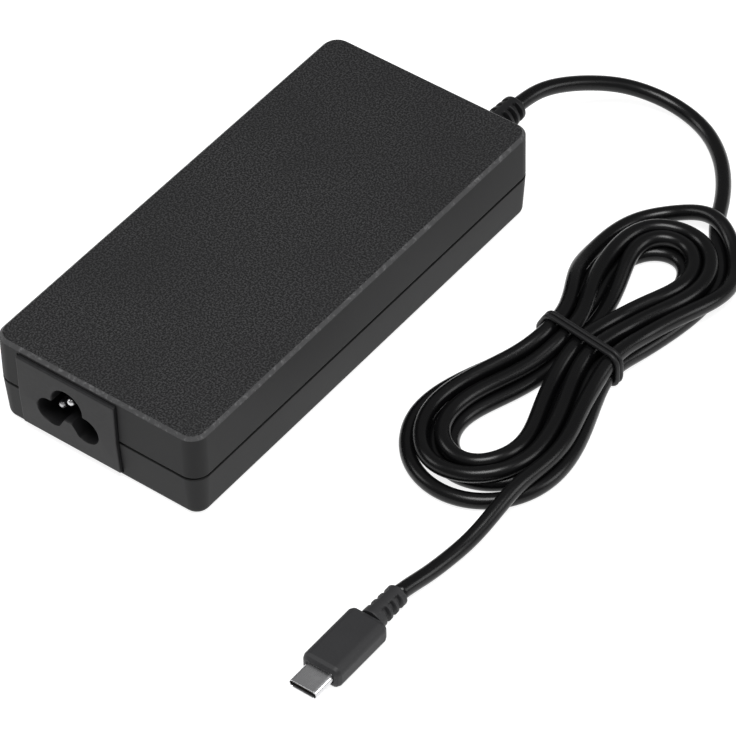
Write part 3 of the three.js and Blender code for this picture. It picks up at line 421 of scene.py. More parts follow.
def keepInTie(place, held, sizes):
    # Keeps strands on the surface or on the tie's underside, and inside the tie at the waist.
    fromWaist = np.abs(place[:, 1] - sizes["waistY"])
    inTie = fromWaist < sizes["tieHalf"]
    offset = np.clip(place[:, 0] - sizes["middleX"], -sizes["waistReach"], sizes["waistReach"])
    place[:, 0] = np.where(inTie, sizes["middleX"] + offset, place[:, 0])
    place[:, 2] = np.where(inTie, np.minimum(place[:, 2], sizes["waistTop"]), place[:, 2])
    nearWaist = eased(1 - fromWaist / sizes["liftedHalf"])
    ground = sizes["low"] + (sizes["waistLow"] - sizes["low"]) * nearWaist
    place[:, 2] = np.maximum(place[:, 2], np.where(held, place[:, 2], ground))


def settled(line, sizes, held, moves):
    # Lets the strands push each other apart, bend evenly and come down, at a fixed length.
    place = line.copy()
    spacing = np.linalg.norm(np.diff(line, axis=0), axis=1)
    free = np.where(held, 0.0, 1.0)
    index = np.arange(len(line))
    apart = int(sizes["gap"] * 1.8 / sizes["step"]) + 1
    pairs = np.where(np.triu(np.abs(index[:, None] - index[None, :]) > apart))
    for turn in range(moves["rounds"]):
        calm = 1.0 if turn < moves["rounds"] - moves["calmRounds"] else moves["calm"]
        place[:, 2] -= moves["sink"] * calm * free
        bend = np.zeros_like(place)
        bend[1:-1] = (place[:-2] + place[2:]) / 2 - place[1:-1]
        stiff = np.zeros_like(place)
        stiff[1:-1] = bend[1:-1] - (bend[:-2] + bend[2:]) / 2
        place += moves["evening"] * calm * stiff * free[:, None]
        for _ in range(2):
            pushApart(place, free, pairs, sizes["gap"], moves["push"])
            keepSpacing(place, free, spacing)
        keepInTie(place, held, sizes)
    return place


def cordLine(sizes):
    # The laid route after settling, with its last small kinks smoothed away.
    laid = laidRoute(sizes)
    run = distances(laid)
    freeFrom = distances(np.array(leadOut))[-1] - sizes["heldStart"]
    free = (run > freeFrom) & (run < run[-1] - sizes["heldEnd"])
    line = evenly(smoothLine(settled(laid, sizes, ~free, settling), 4), sizes["fineStep"])
    for _ in range(sizes["smoothings"]):
        line[1:-1] = (line[:-2] + 2 * line[1:-1] + line[2:]) / 4
    return line


route = cordLine(cordSizes) * mm
cordPiece = tubeMesh("cord", route, cordSizes["diameter"] / 2 * mm, 28)
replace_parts(cordPiece, "lead_out_cord", "cord_hank", "plug_lead_cord")
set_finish(cordPiece, "cord_jacket")
print("cord laid, length", round(distances(route)[-1], 4))

# Moulded housing.

housing = {
    "wall": 2.2 * mm,
    "cornerRadius": 4.7 * mm,
    "chamfer": 0.9 * mm,
    "edgeRound": 0.3 * mm,
    "rimRound": 0.3 * mm,
    "draft": math.radians(4),
    "baseRound": 2.2 * mm,
    "lip": 1.0 * mm,
    "lipHeight": 1.6 * mm,
    "fit": 0.3 * mm,
    "cornerSteps": 12,
    "seamGap": 0.6 * mm,
}
halfWidth = (lidHigh.x - lidLow.x) / 2
halfLength = (lidHigh.y - lidLow.y) / 2
middleY = (lidHigh.y + lidLow.y) / 2
frontFace = lidLow.y
rearFace = lidHigh.y
topFace = lidHigh.z
upperRim = lidLow.z
lowerRim = upperRim - housing["seamGap"]
seamHeight = (upperRim + lowerRim) / 2

inletLow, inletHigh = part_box("inlet_body")
inlet = {
    "middleX": (inletLow.x + inletHigh.x) / 2,
    "face": inletLow.y,
    "back": inletHigh.y,
    "panelWidth": 31.4 * mm,
    "panelTop": 26.05 * mm,
    "panelBottom": 2.5 * mm,
    "panelRound": 0.4 * mm,
    "edgeRound": 0.28 * mm,
    "lobeRadius": 4.3 * mm,
    "lobeSpread": 5.45 * mm,
    "lobeHeight": 12.2 * mm,
    "earthRadius": 4.85 * mm,
    "earthHeight": 17.3 * mm,
    "notchHeight": 12.0 * mm,
    "webInset": 1.65 * mm,        # of the flat between the lobes, from their middles
    "mouthMiddle": 14.4 * mm,
    "depth": 12 * mm,
    "flare": 0.4 * mm,
    "blockHalfWidth": 11.5 * mm,  # behind the panel
    "blockBottom": 6 * mm,
    "blockTop": 24 * mm,
    "behindWall": 0.7 * mm,
    "overlap": 1.5 * mm,
}
reliefLow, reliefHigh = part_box("output_strain_relief")
outlet = {
    "x": (reliefLow.x + reliefHigh.x) / 2,
    "z": seamHeight,
    "baseRadius": 4.55 * mm,
    "tipRadius": 3.6 * mm,
    "slots": 6,
    "firstSlot": 2.4 * mm,
    "pitch": 2.5 * mm,
    "slotWidth": 1.25 * mm,
    "slotDepth": 1.4 * mm,
    "bridge": 2.4 * mm,
    "collar": 1.5 * mm,
    "edgeRound": 0.7 * mm,
    "opening": 2.2 * mm,
}


def draftInset(z):
    # How far the lower shell has drawn in at that height.
    return max(0.0, lowerRim - z) * math.tan(housing["draft"])


def shellFrom(name, profile):
    # Skin through (inset, height) levels, from the inside cap round the rim to the outside cap.
    rings = []
    for inset, z in profile:
        radius = max(housing["cornerRadius"] - inset, 0.5 * mm)
        outline = roundedOutline(halfWidth - inset, halfLength - inset, radius, housing["cornerSteps"])
        rings.append([(x, y + middleY, z) for x, y in outline])
    return addMesh(name, *stacked(rings))


def windowCutter(name):
    half = inlet["panelWidth"] / 2 + housing["fit"]
    low = (inlet["middleX"] - half, inlet["face"] - mm, inlet["panelBottom"] - housing["fit"])
    high = (inlet["middleX"] + half, frontFace + housing["wall"] + mm, inlet["panelTop"] + housing["fit"])
    return boxMesh(name, low, high)


def outletCutter(name):
    radius = outlet["baseRadius"] + housing["fit"]
    ends = [(rearFace - 3 * housing["wall"], radius), (rearFace + mm, radius)]
    return turned(name, ends, (outlet["x"], outlet["z"]))


def makeLid():
    wall, chamfer, rim = housing["wall"], housing["chamfer"], housing["rimRound"]
    ceiling = topFace - wall
    rebate = wall - housing["lip"] - housing["fit"]
    rebateTop = upperRim + housing["lipHeight"] + housing["fit"]
    inner = [(wall, ceiling), (wall, rebateTop), (rebate, rebateTop), (rebate, upperRim)]
    outer = softened([
        (rebate, upperRim), (rim * 0.2, upperRim), (0, upperRim + rim), (0, upperRim + 4 * rim),
        (0, topFace - chamfer), (chamfer, topFace), (chamfer * 3, topFace),
    ], housing["edgeRound"])
    lid = shellFrom("upper_shell", inner + [tuple(p) for p in outer[1:]])
    carve(lid, windowCutter("cut_a"), outletCutter("cut_b"))
    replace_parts(lid, "upper_housing")
    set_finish(lid, "housing")
    return lid


def makeBase():
    wall, rim, rounding = housing["wall"], housing["rimRound"], housing["baseRound"]
    lipTop = upperRim + housing["lipHeight"]
    lipOuter = wall - housing["lip"]
    inner = [
        (wall + draftInset(wall), wall), (wall, lowerRim), (wall, lipTop), (lipOuter, lipTop),
        (lipOuter, lowerRim),
    ]
    outer = [(rim * 0.2, lowerRim), (0, lowerRim - rim)]
    steps = 10
    for step in range(steps + 1):
        angle = (1 - step / steps) * (math.pi / 2 - housing["draft"])
        z = rounding * (1 - math.cos(angle))
        outer.append((draftInset(z) + rounding * (1 - math.sin(angle)), z))
    base = shellFrom("lower_shell", inner + outer)
    labelLow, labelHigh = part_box("rating_label")
    fit = housing["fit"]
    outline = roundedOutline(
        (labelHigh.x - labelLow.x) / 2 + fit, (labelHigh.y - labelLow.y) / 2 + fit, 2 * mm, 8,
    )
    middle = (labelLow + labelHigh) / 2
    rings = [[(x + middle.x, y + middle.y, z) for x, y in outline] for z in (-mm, labelHigh.z + fit)]
    pocket = addMesh("cut_c", *stacked(rings))
    carve(base, windowCutter("cut_a"), outletCutter("cut_b"), pocket)
    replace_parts(base, "lower_housing")
    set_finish(base, "housing")
    return base


lidPiece = makeLid()
basePiece = makeBase()
print("housing moulded")

# Mains inlet.


def cloverOutline(sides=128):
    # Edge of the three joined lobes, as angle and reach, found by walking out from their middle.
    stride = 0.02 * mm
    lobes = [
        (-inlet["lobeSpread"], inlet["lobeHeight"], inlet["lobeRadius"]),
        (inlet["lobeSpread"], inlet["lobeHeight"], inlet["lobeRadius"]),
        (0.0, inlet["earthHeight"], inlet["earthRadius"]),
    ]
    web = inlet["lobeSpread"] - inlet["webInset"]

    def inside(x, z):
        if abs(x) < web and inlet["notchHeight"] < z < inlet["earthHeight"]:
            return True
        return any(math.hypot(x - cx, z - cz) < radius for cx, cz, radius in lobes)

    outline = []
    for i in range(sides):
        angle = 2 * math.pi * i / sides
        reach = 0.0
        while inside(reach * math.cos(angle), inlet["mouthMiddle"] + reach * math.sin(angle)):
            reach += stride
        outline.append((angle, reach))
    return outline


def cloverCutter():
    outline = cloverOutline()
    face, flare = inlet["face"], inlet["flare"]
    levels = [
        (face - 0.5 * mm, flare), (face, flare), (face + 0.12 * mm, 0.5 * flare),
        (face + 0.4 * mm, 0.12 * flare), (face + 0.8 * mm, 0), (face + inlet["depth"], 0),
    ]
    rings = []
    for y, grow in levels:
        rings.append([
            (inlet["middleX"] + (reach + grow) * math.cos(angle), y,
             inlet["mouthMiddle"] + (reach + grow) * math.sin(angle))
            for angle, reach in outline
        ])
    return addMesh("cut_d", *stacked(rings))


def makeInlet():
    edge, face, middleX = inlet["edgeRound"], inlet["face"], inlet["middleX"]
    back = frontFace + housing["wall"] + inlet["behindWall"]
    foot = face + draftInset(inlet["panelBottom"] + inlet["panelRound"])
    side = softened([
        (back, inlet["panelBottom"]), (foot, inlet["panelBottom"]), (face, lowerRim),
        (face, inlet["panelTop"]), (back, inlet["panelTop"]),
    ], edge * 2, 6)
    half = inlet["panelWidth"] / 2
    middleOfSide = np.mean(side, axis=0)
    ends = [(half, edge), (half - 0.3 * edge, 0.3 * edge), (half - edge, 0)]
    rings = []
    for x, shrink in [(-x, shrink) for x, shrink in ends] + ends[::-1]:
        ring = []
        for y, z in side:
            towards = middleOfSide - np.array([y, z])
            size = np.maximum(np.abs(towards), 1e-9)
            y = y + math.copysign(min(shrink, size[0]), towards[0]) * (y < back - 0.1 * mm)
            z = z + math.copysign(min(shrink, size[1]), towards[1])
            ring.append((middleX + x, y, z))
        rings.append(ring)
    panel = addMesh("inlet_panel", *stacked(rings))
    low = (middleX - inlet["blockHalfWidth"], back - inlet["overlap"], inlet["blockBottom"])
    high = (middleX + inlet["blockHalfWidth"], inlet["back"], inlet["blockTop"])
    carve(panel, boxMesh("join_a", low, high), operation="UNION")
    carve(panel, cloverCutter())
    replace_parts(panel, "inlet_body")
    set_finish(panel, "inlet_plastic")
    return panel


def makePin(role):
    name = "inlet_pin_" + role
    low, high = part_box(name)
    middle = (low + high) / 2
    radius = (high.x - low.x) / 2
    domeLength = radius * 0.9
    edge = 0.2 * mm
    dome = [(low.y + domeLength * (1 - math.cos(a)), radius * math.sin(a))
            for a in np.linspace(0.02, math.pi / 2, 9)]
    profile = dome + [(high.y - edge, radius), (high.y, radius - edge)]
    pin = turned("contact_pin_" + role, profile, (middle.x, middle.z), 32)
    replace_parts(pin, name)
    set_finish(pin, "bare_metal")
    return pin


inletPiece = makeInlet()
pinPieces = [makePin(role) for role in ("live", "neutral", "earth")]
print("inlet fitted")

# Strain reliefs: round boots with side slots.


def slottedBoot(name, profile, centre, sizes, middles, sides=96, step=0.12 * mm):
    # profile is (y, radius) from end to end; the slots leave a rib above and below.
    slotEdge, ribEdge = 0.3 * mm, 0.4 * mm
    profile = np.array(profile)
    count = int(round((profile[-1, 0] - profile[0, 0]) / step))
    rings = []
    for y in np.linspace(profile[0, 0], profile[-1, 0], count + 1):
        radius = max(float(np.interp(y, profile[:, 0], profile[:, 1])), 0.05 * mm)
        nearest = min(abs(y - middle) for middle in middles)
        cut = sizes["slotDepth"] * eased((sizes["slotWidth"] / 2 - nearest) / slotEdge + 0.5)
        ring = []
        for i in range(sides):
            angle = 2 * math.pi * i / sides
            beyondRib = (abs(math.cos(angle)) * radius - sizes["bridge"] / 2) / ribEdge + 0.5
            here = radius - cut * eased(beyondRib)
            ring.append((centre[0] + here * math.cos(angle), y, centre[1] + here * math.sin(angle)))
        rings.append(ring)
    return addMesh(name, *stacked(rings), sharp=50)


def slotPlaces(sizes, start, direction):
    return [start + direction * (sizes["firstSlot"] + i * sizes["pitch"]) for i in range(sizes["slots"])]


def makeOutletBoot():
    low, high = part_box("output_strain_relief")
    collarEnd = low.y + outlet["collar"]
    base, tip = outlet["baseRadius"], outlet["tipRadius"]
    collar = (high.x - low.x) / 2
    profile = softened([
        (low.y, collar * 0.4), (low.y + 0.02 * mm, collar), (collarEnd, collar),
        (collarEnd + 0.05 * mm, base), (rearFace + 0.3 * mm, base), (high.y - 0.02 * mm, tip),
        (high.y, outlet["opening"]),
    ], outlet["edgeRound"], 6)
    middles = slotPlaces(outlet, rearFace, 1)
    boot = slottedBoot("outlet_boot", profile, (outlet["x"], outlet["z"]), outlet, middles)
    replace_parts(boot, "output_strain_relief")
    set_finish(boot, "rubber")
    return boot


plugLow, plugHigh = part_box("plug_body")
plugRear, plugFront = plugHigh.y, plugLow.y
plugX = (plugLow.x + plugHigh.x) / 2
plugZ = (plugLow.z + plugHigh.z) / 2
plug = {
    "reliefRear": 3.0 * mm,
    "reliefFront": 3.3 * mm,
    "slots": 3,
    "firstSlot": 2.6 * mm,
    "pitch": 2.5 * mm,
    "slotWidth": 1.4 * mm,
    "slotDepth": 1.0 * mm,
    "bridge": 3.0 * mm,
    "sideRound": 2.2 * mm,
    "endRound": 1.4 * mm,
    "shellWall": 0.25 * mm,
    "shellLip": 0.09 * mm,
    "reliefRound": 0.6 * mm,
    "opening": 2.15 * mm,
    "fit": 0.1 * mm,
}


def makePlugBoot():
    low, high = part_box("plug_strain_relief")
    front, rear = plug["reliefFront"], plug["reliefRear"]
    tail = softened([
        (low.y + mm, front), (high.y - 1.1 * mm, rear), (high.y - 0.02 * mm, rear * 1.02),
        (high.y, plug["opening"]),
    ], plug["reliefRound"], 6)
    profile = [(low.y, front * 0.97), (low.y + 0.15 * mm, front), *tail]
    middles = slotPlaces(plug, high.y, -1)
    boot = slottedBoot("plug_boot", profile, (plugX, plugZ), plug, middles)
    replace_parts(boot, "plug_strain_relief")
    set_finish(boot, "plug_plastic")
    return boot


outletBoot = makeOutletBoot()
plugBoot = makePlugBoot()
print("strain reliefs moulded")

# Plug.


def plugSections(profile, halfX, halfZ, radius, steps=8):
    # Rounded sections about the plug's axis; profile is (y, inset) from end to end.
    rings = []
    for y, inset in profile:
        outline = roundedOutline(halfX - inset, halfZ - inset, radius - inset, steps)
        rings.append([(plugX + x, y, plugZ + z) for x, z in outline])
    return rings


def makePlugBlock():
    half = (plugHigh - plugLow) / 2
    edge, fit = plug["endRound"], plug["fit"]
    profile = softened([
        (plugFront, edge * 1.6), (plugFront, edge), (plugFront + edge * 0.3, edge * 0.3),
        (plugFront + edge, 0), (plugRear - edge, 0), (plugRear - edge * 0.3, edge * 0.3),
        (plugRear, edge), (plugRear, edge * 1.6),
    ], 0.4 * mm, 3)
    block = addMesh("plug_block", *stacked(plugSections(profile, half.x, half.z, plug["sideRound"])))
    shellLow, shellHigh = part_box("plug_shell")
    shellHalf = (shellHigh - shellLow) / 2
    halfHeight = shellHalf.z + fit
    ends = [(plugFront - mm, 0), (shellHigh.y + fit, 0)]
    pocket = addMesh("cut_e", *stacked(plugSections(ends, shellHalf.x + fit, halfHeight, halfHeight, 10)))
    boardLow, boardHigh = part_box("plug_board")
    room = boxMesh("cut_f", tuple(v - fit for v in boardLow), tuple(v + fit for v in boardHigh))
    carve(block, pocket, room)
    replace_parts(block, "plug_body")
    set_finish(block, "plug_plastic")
    return block


def makePlugShell():
    # An open sleeve: the profile runs from its rear inside, round the mouth's lip, to its rear outside.
    low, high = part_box("plug_shell")
    half = (high - low) / 2
    wall, lip = plug["shellWall"], plug["shellLip"]
    profile = [
        (high.y, wall), (low.y + 0.35 * mm, wall), (low.y + lip, wall - 0.03 * mm), (low.y, wall - lip),
        (low.y, lip), (low.y + lip * 0.3, lip * 0.3), (low.y + lip, 0), (high.y, 0),
    ]
    rings = plugSections(profile, half.x, half.z, half.z, 12)
    shell = addMesh("plug_sleeve", *stacked(rings, "joined"), sharp=50)
    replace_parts(shell, "plug_shell")
    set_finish(shell, "bare_metal")
    return shell


plugBlock = makePlugBlock()
plugShell = makePlugShell()
print("plug assembled")

# Tie: one thin rubber-covered wire wound twice round the bundle.

tieSizes = {
    "radius": 0.68 * mm,
    "spread": 1.5 * mm,  # between its turns
    "lean": -3.0 * mm,   # along Y, from one side of the bundle to the other
    "turns": 2,
    "turnSteps": 220,
}


def hullOf(points):
    # The outline that a band drawn tight round flat points would take.
    points = sorted(points)

    def half(sequence):
        chain = []
        for p in sequence:
            while len(chain) > 1:
                a, b = chain[-2], chain[-1]
                if (b[0] - a[0]) * (p[1] - a[1]) - (b[1] - a[1]) * (p[0] - a[0]) > 0:
                    break
                chain.pop()
            chain.append(p)
        return chain[:-1]

    return half(points) + half(points[::-1])


def strandsAt(y):
    # Where the cord's centre line crosses that y, as (x, z).
    inHank = route[:, 0] > cordSizes["hankFromX"] * mm
    crossings = []
    for a, b, ok in zip(route[:-1], route[1:], inHank[:-1]):
        if ok and (a[1] - y) * (b[1] - y) <= 0 and a[1] != b[1]:
            t = (y - a[1]) / (b[1] - a[1])
            crossings.append((a[0] + (b[0] - a[0]) * t, a[2] + (b[2] - a[2]) * t))
    return crossings


def makeTie():
    low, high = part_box("cord_tie")
    waist = (low.y + high.y) / 2
    reach = cordSizes["diameter"] / 2 * mm + tieSizes["radius"]
    cloud = []
    for x, z in strandsAt(waist):
        for angle in np.linspace(0, 2 * math.pi, 24, endpoint=False):
            cloud.append((x + reach * math.cos(angle), z + reach * math.sin(angle)))
    hull = hullOf(cloud)
    loop = np.array(hull + hull[:1])
    run = distances(loop)
    count = tieSizes["turnSteps"]
    places = np.linspace(0, run[-1], count, endpoint=False)
    ring = np.stack([np.interp(places, run, loop[:, k]) for k in range(2)], axis=1)
    for _ in range(6):
        ring = (np.roll(ring, 1, axis=0) + 2 * ring + np.roll(ring, -1, axis=0)) / 4
    middle = ring[:, 0].mean()
    halfAcross = np.abs(ring[:, 0] - middle).max()
    line = []
    start = int(np.argmin(ring[:, 1]))
    for i in range(count * tieSizes["turns"] + 1):
        x, z = ring[(start + i) % count]
        turn = i / count
        lean = tieSizes["lean"] * (x - middle) / halfAcross * 0.5
        y = waist + (turn - tieSizes["turns"] / 2) * tieSizes["spread"] + lean
        line.append((x, y, max(z, tieSizes["radius"] + 0.05 * mm)))
    tie = tubeMesh("tie_wire", line, tieSizes["radius"], 16)
    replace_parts(tie, "cord_tie")
    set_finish(tie, "rubber")
    return tie


tiePiece = makeTie()
onCord = [outletBoot, tiePiece, plugBoot, plugBlock, plugShell]
onCord += [nodes[name] for name in (
    "contact_carrier", "contact_row_upper", "contact_row_lower", "latch_spring_left",
    "latch_spring_right", "plug_board",
)]
print("tie wound")

# Shader sums written as Python.


class Amount:
    # A number that varies over a surface; each operator adds one Math node.
    def __init__(self, paint, socket):
        self.paint = paint
        self.socket = socket

    def sum(self, operation, first, second):
        made = self.paint.add("ShaderNodeMath", {"operation": operation}, {0: first, 1: second})
        return Amount(self.paint, made.outputs[0])

    def __add__(self, other):
        return self.sum("ADD", self, other)

    __radd__ = __add__

    def __sub__(self, other):
        return self.sum("SUBTRACT", self, other)

    def __rsub__(self, other):
        return self.sum("SUBTRACT", other, self)

    def __mul__(self, other):
        return self.sum("MULTIPLY", self, other)

    __rmul__ = __mul__

    def __abs__(self):
        return self.sum("ABSOLUTE", self, 0.0)

    def root(self):
        return self.sum("SQRT", self, 0.0)

    def lower(self, other):
        return self.sum("MINIMUM", self, other)

    def higher(self, other):
        return self.sum("MAXIMUM", self, other)

    def ramp(self, start, end):
        # Eases from 0 to 1 as this amount goes from start to end.
        inputs = {0: self, 1: start, 2: end}
        made = self.paint.add("ShaderNodeMapRange", {"interpolation_type": "SMOOTHSTEP"}, inputs)
        return Amount(self.paint, made.outputs[0])


class Paint:
    # One material: a shader with fixed values, and the nodes that vary it over the surface.
    def __init__(self, name, colour, roughness, fixed=None):
        self.material = bpy.data.materials.new(name)
        self.material.use_nodes = True
        self.tree = self.material.node_tree
        self.shader = self.tree.nodes["Principled BSDF"]
        self.relief = None
        for socket, value in {"Base Color": colour, "Roughness": roughness, **(fixed or {})}.items():
            self.feed(socket, value)
        self.place = self.add("ShaderNodeTexCoord").outputs["Object"]
        apart = self.add("ShaderNodeSeparateXYZ", None, {0: self.place})
        self.x, self.y, self.z = (Amount(self, socket) for socket in apart.outputs)

    def add(self, kind, settings=None, inputs=None):
        made = self.tree.nodes.new(kind)
        for key, value in (settings or {}).items():
            setattr(made, key, value)
        for key, value in (inputs or {}).items():
            self.fill(made.inputs[key], value)
        return made

    def fill(self, socket, value):
        # Links an amount or an output to a socket, or sets it to a number, a vector or a colour.
        if isinstance(value, Amount):
            value = value.socket
        if isinstance(value, bpy.types.NodeSocket):
            self.tree.links.new(value, socket)
        elif socket.type == "RGBA":
            socket.default_value = (*value, 1)
        else:
            socket.default_value = value

    def feed(self, socket, value):
        self.fill(self.shader.inputs[socket], value)

    def done(self, colour, roughness):
        self.feed("Base Color", colour)
        self.feed("Roughness", roughness)
        return self.material

    def stretched(self, scale):
        # Place on the object, longer along the directions with a small scale.
        made = self.add("ShaderNodeMapping", None, {"Vector": self.place, "Scale": scale})
        return made.outputs[0]

    def cloud(self, size, detail=2.0, roughness=0.5, place=None, offset=0.0):
        # Soft noise whose patches are about size across, from 0 to 1.
        made = self.add("ShaderNodeTexNoise", {"noise_dimensions": "4D"}, {
            "Vector": place or self.place, "W": offset, "Scale": 1 / size, "Detail": detail,
            "Roughness": roughness,
        })
        return Amount(self, made.outputs[0])

    def cells(self, size, feature="F1"):
        # Distance inside cells that are about size across.
        inputs = {"Vector": self.place, "Scale": 1 / size}
        made = self.add("ShaderNodeTexVoronoi", {"feature": feature}, inputs)
        return Amount(self, made.outputs["Distance"])

    def waves(self, size, direction, distortion):
        # Bands that repeat every size, and bend more with more distortion.
        repeatAtScaleOne = 0.314
        made = self.add("ShaderNodeTexWave", {"wave_type": "BANDS", "bands_direction": direction}, {
            "Vector": self.place, "Scale": repeatAtScaleOne / size, "Distortion": distortion,
        })
        return Amount(self, made.outputs["Fac"])

    def edges(self):
        # 0 in hollows, 0.5 on flats, 1 on sharp ridges.
        return Amount(self, self.add("ShaderNodeNewGeometry").outputs["Pointiness"])

    def blend(self, mask, first, second):
        # The first colour where the mask is 0 and the second where it is 1.
        made = self.add("ShaderNodeMix", {"data_type": "RGBA"}, {0: mask, 6: first, 7: second})
        return made.outputs[2]

    def emboss(self, height, depth, strength=1.0):
        # Adds height times depth metres to the relief.
        inputs = {"Height": height, "Distance": depth, "Strength": strength}
        if self.relief:
            inputs["Normal"] = self.relief
        self.relief = self.add("ShaderNodeBump", None, inputs).outputs[0]
        self.feed("Normal", self.relief)


def shade(colour, factor):
    return tuple(min(1.0, c * factor) for c in colour)


# Finishes.

housingFinish = {
    "colour": (0.0068, 0.0068, 0.0072),
    "fleck": (0.036, 0.036, 0.037),
    # paler colour of the chamfer band: a painted highlight along the top edge, partly wear
    "wearAndHighlight": (0.1, 0.1, 0.102),
    "seam": (0.0015, 0.0015, 0.0015),
    "roughness": 0.56,
    "topGrain": 0.5 * mm,
    "topDepth": 0.09 * mm,
    "sideGrain": 0.2 * mm,
    "sideDepth": 0.006 * mm,
    "smears": 26 * mm,
    "specular": 0.2,
}


def paintHousing(settings):
    # Coarse grain on the top, fine grain elsewhere, a paler band along the top's edge that is a painted
    # highlight with wear in it, a dark seam.
    paint = Paint("moulded_housing", settings["colour"], settings["roughness"],
                  {"Specular IOR Level": settings["specular"]})
    onTop = paint.z.ramp(topFace - 0.12 * mm, topFace - 0.03 * mm)
    coarse = paint.cloud(settings["topGrain"], 2.5, 0.62)
    pits = paint.cells(settings["topGrain"] * 1.1)
    grain = coarse * 0.7 + pits * 0.5
    fine = paint.cloud(settings["sideGrain"], 2.0, 0.5, offset=3.0)
    smears = paint.cloud(settings["smears"], 3.0, 0.55, offset=7.0)
    fleck = coarse.ramp(0.44, 0.6) * onTop
    corner = housing["cornerRadius"]
    cornerX = (abs(paint.x) - (halfWidth - corner)).higher(0.0)
    cornerY = (abs(paint.y - middleY) - (halfLength - corner)).higher(0.0)
    fromEdge = corner - (cornerX * cornerX + cornerY * cornerY).root()
    nearEdge = fromEdge.ramp(1.05 * mm, 0.8 * mm)
    # The chamfer band all round the top, at least 0.4 strong: a painted highlight along the top edge,
    # with scuffs of wear on it; the corner marks are wear.
    rim = nearEdge * paint.z.ramp(topFace - 1.1 * mm, topFace - 0.8 * mm)
    scuffs = paint.cloud(1.6 * mm, 4.0, 0.7, offset=11.0).ramp(0.5, 0.68)
    wearAndHighlight = rim * (0.4 + 0.6 * scuffs)
    cornerWear = paint.edges().ramp(0.53, 0.6) * scuffs * 0.12
    seam = abs(paint.z - seamHeight).ramp(0.6 * mm, 0.42 * mm)
    base = paint.blend(fleck, settings["colour"], settings["fleck"])
    base = paint.blend(smears.ramp(0.35, 0.75) * 0.35, base, shade(settings["colour"], 1.5))
    base = paint.blend((wearAndHighlight + cornerWear).lower(1.0), base, settings["wearAndHighlight"])
    base = paint.blend(seam, base, settings["seam"])
    rough = settings["roughness"] + smears * 0.08 + onTop * 0.05 - wearAndHighlight * 0.14 + fine * 0.05 - 0.06
    paint.emboss(grain * onTop, settings["topDepth"], 0.75)
    paint.emboss(fine * (1 - onTop * 0.6), settings["sideDepth"], 0.8)
    return paint.done(base, rough)


def paintPlastic(name, settings):
    # Moulded plastic or rubber: fine grain, cloudy gloss, a few dust specks, paler worn edges.
    colour = settings["colour"]
    paint = Paint(name, colour, settings["roughness"],
                  {"Specular IOR Level": settings.get("specular", 0.4)})
    grain = paint.cloud(settings["grain"], 2.5, 0.6)
    clouds = paint.cloud(settings["grain"] * 55, 3.0, 0.6, offset=5.0)
    dust = paint.cells(1.9 * mm).ramp(0.11, 0.04) * paint.cloud(7 * mm, offset=2.0).ramp(0.5, 0.7)
    ridge = paint.edges().ramp(0.52, 0.6) * paint.cloud(1.2 * mm, 3.0, offset=9.0).ramp(0.35, 0.65)
    base = paint.blend(grain.ramp(0.35, 0.75) * settings["fleck"], colour, shade(colour, 1.7))
    base = paint.blend(clouds.ramp(0.3, 0.8) * 0.4, base, shade(colour, 1.35))
    base = paint.blend(dust * settings.get("dust", 0.2), base, (0.2, 0.19, 0.18))
    base = paint.blend(ridge * settings.get("wear", 0.5), base, shade(colour, 2.6))
    paint.emboss(grain, settings["depth"], 0.8)
    return paint.done(base, settings["roughness"] + clouds * 0.1 + grain * 0.06 - 0.08 - ridge * 0.06)


plasticFinishes = {
    "inlet_plastic": {"colour": (0.0085, 0.0085, 0.009), "roughness": 0.5, "grain": 0.16 * mm,
                      "depth": 0.006 * mm, "fleck": 0.25, "specular": 0.22},
    "rubber": {"colour": (0.0065, 0.0065, 0.007), "roughness": 0.46, "grain": 0.14 * mm,
               "depth": 0.008 * mm, "fleck": 0.3, "specular": 0.26},
    "cord_jacket": {"colour": (0.0022, 0.0022, 0.0024), "roughness": 0.28, "grain": 0.22 * mm,
                    "depth": 0.008 * mm, "fleck": 0.3, "specular": 0.26, "dust": 0.1, "wear": 0.1},
    "plug_plastic": {"colour": (0.016, 0.016, 0.017), "roughness": 0.54, "grain": 0.2 * mm,
                     "depth": 0.014 * mm, "fleck": 0.5, "specular": 0.3},
    "chip": {"colour": (0.012, 0.012, 0.013), "roughness": 0.5, "grain": 0.12 * mm,
             "depth": 0.01 * mm, "fleck": 0.6},
    "silicone": {"colour": (0.3, 0.33, 0.38), "roughness": 0.75, "grain": 0.3 * mm,
                 "depth": 0.02 * mm, "fleck": 0.5},
    "blue_coating": {"colour": (0.02, 0.09, 0.3), "roughness": 0.42, "grain": 0.5 * mm,
                     "depth": 0.03 * mm, "fleck": 0.3},
    "green_coating": {"colour": (0.02, 0.13, 0.07), "roughness": 0.45, "grain": 0.6 * mm,
                      "depth": 0.03 * mm, "fleck": 0.35},
    "yellow_plastic": {"colour": (0.62, 0.37, 0.03), "roughness": 0.4, "grain": 0.25 * mm,
                       "depth": 0.008 * mm, "fleck": 0.15},
    "ceramic": {"colour": (0.72, 0.69, 0.62), "roughness": 0.35, "grain": 0.4 * mm,
                "depth": 0.01 * mm, "fleck": 0.25},
    "ferrite": {"colour": (0.035, 0.036, 0.04), "roughness": 0.62, "grain": 0.3 * mm,
                "depth": 0.03 * mm, "fleck": 0.6},
}


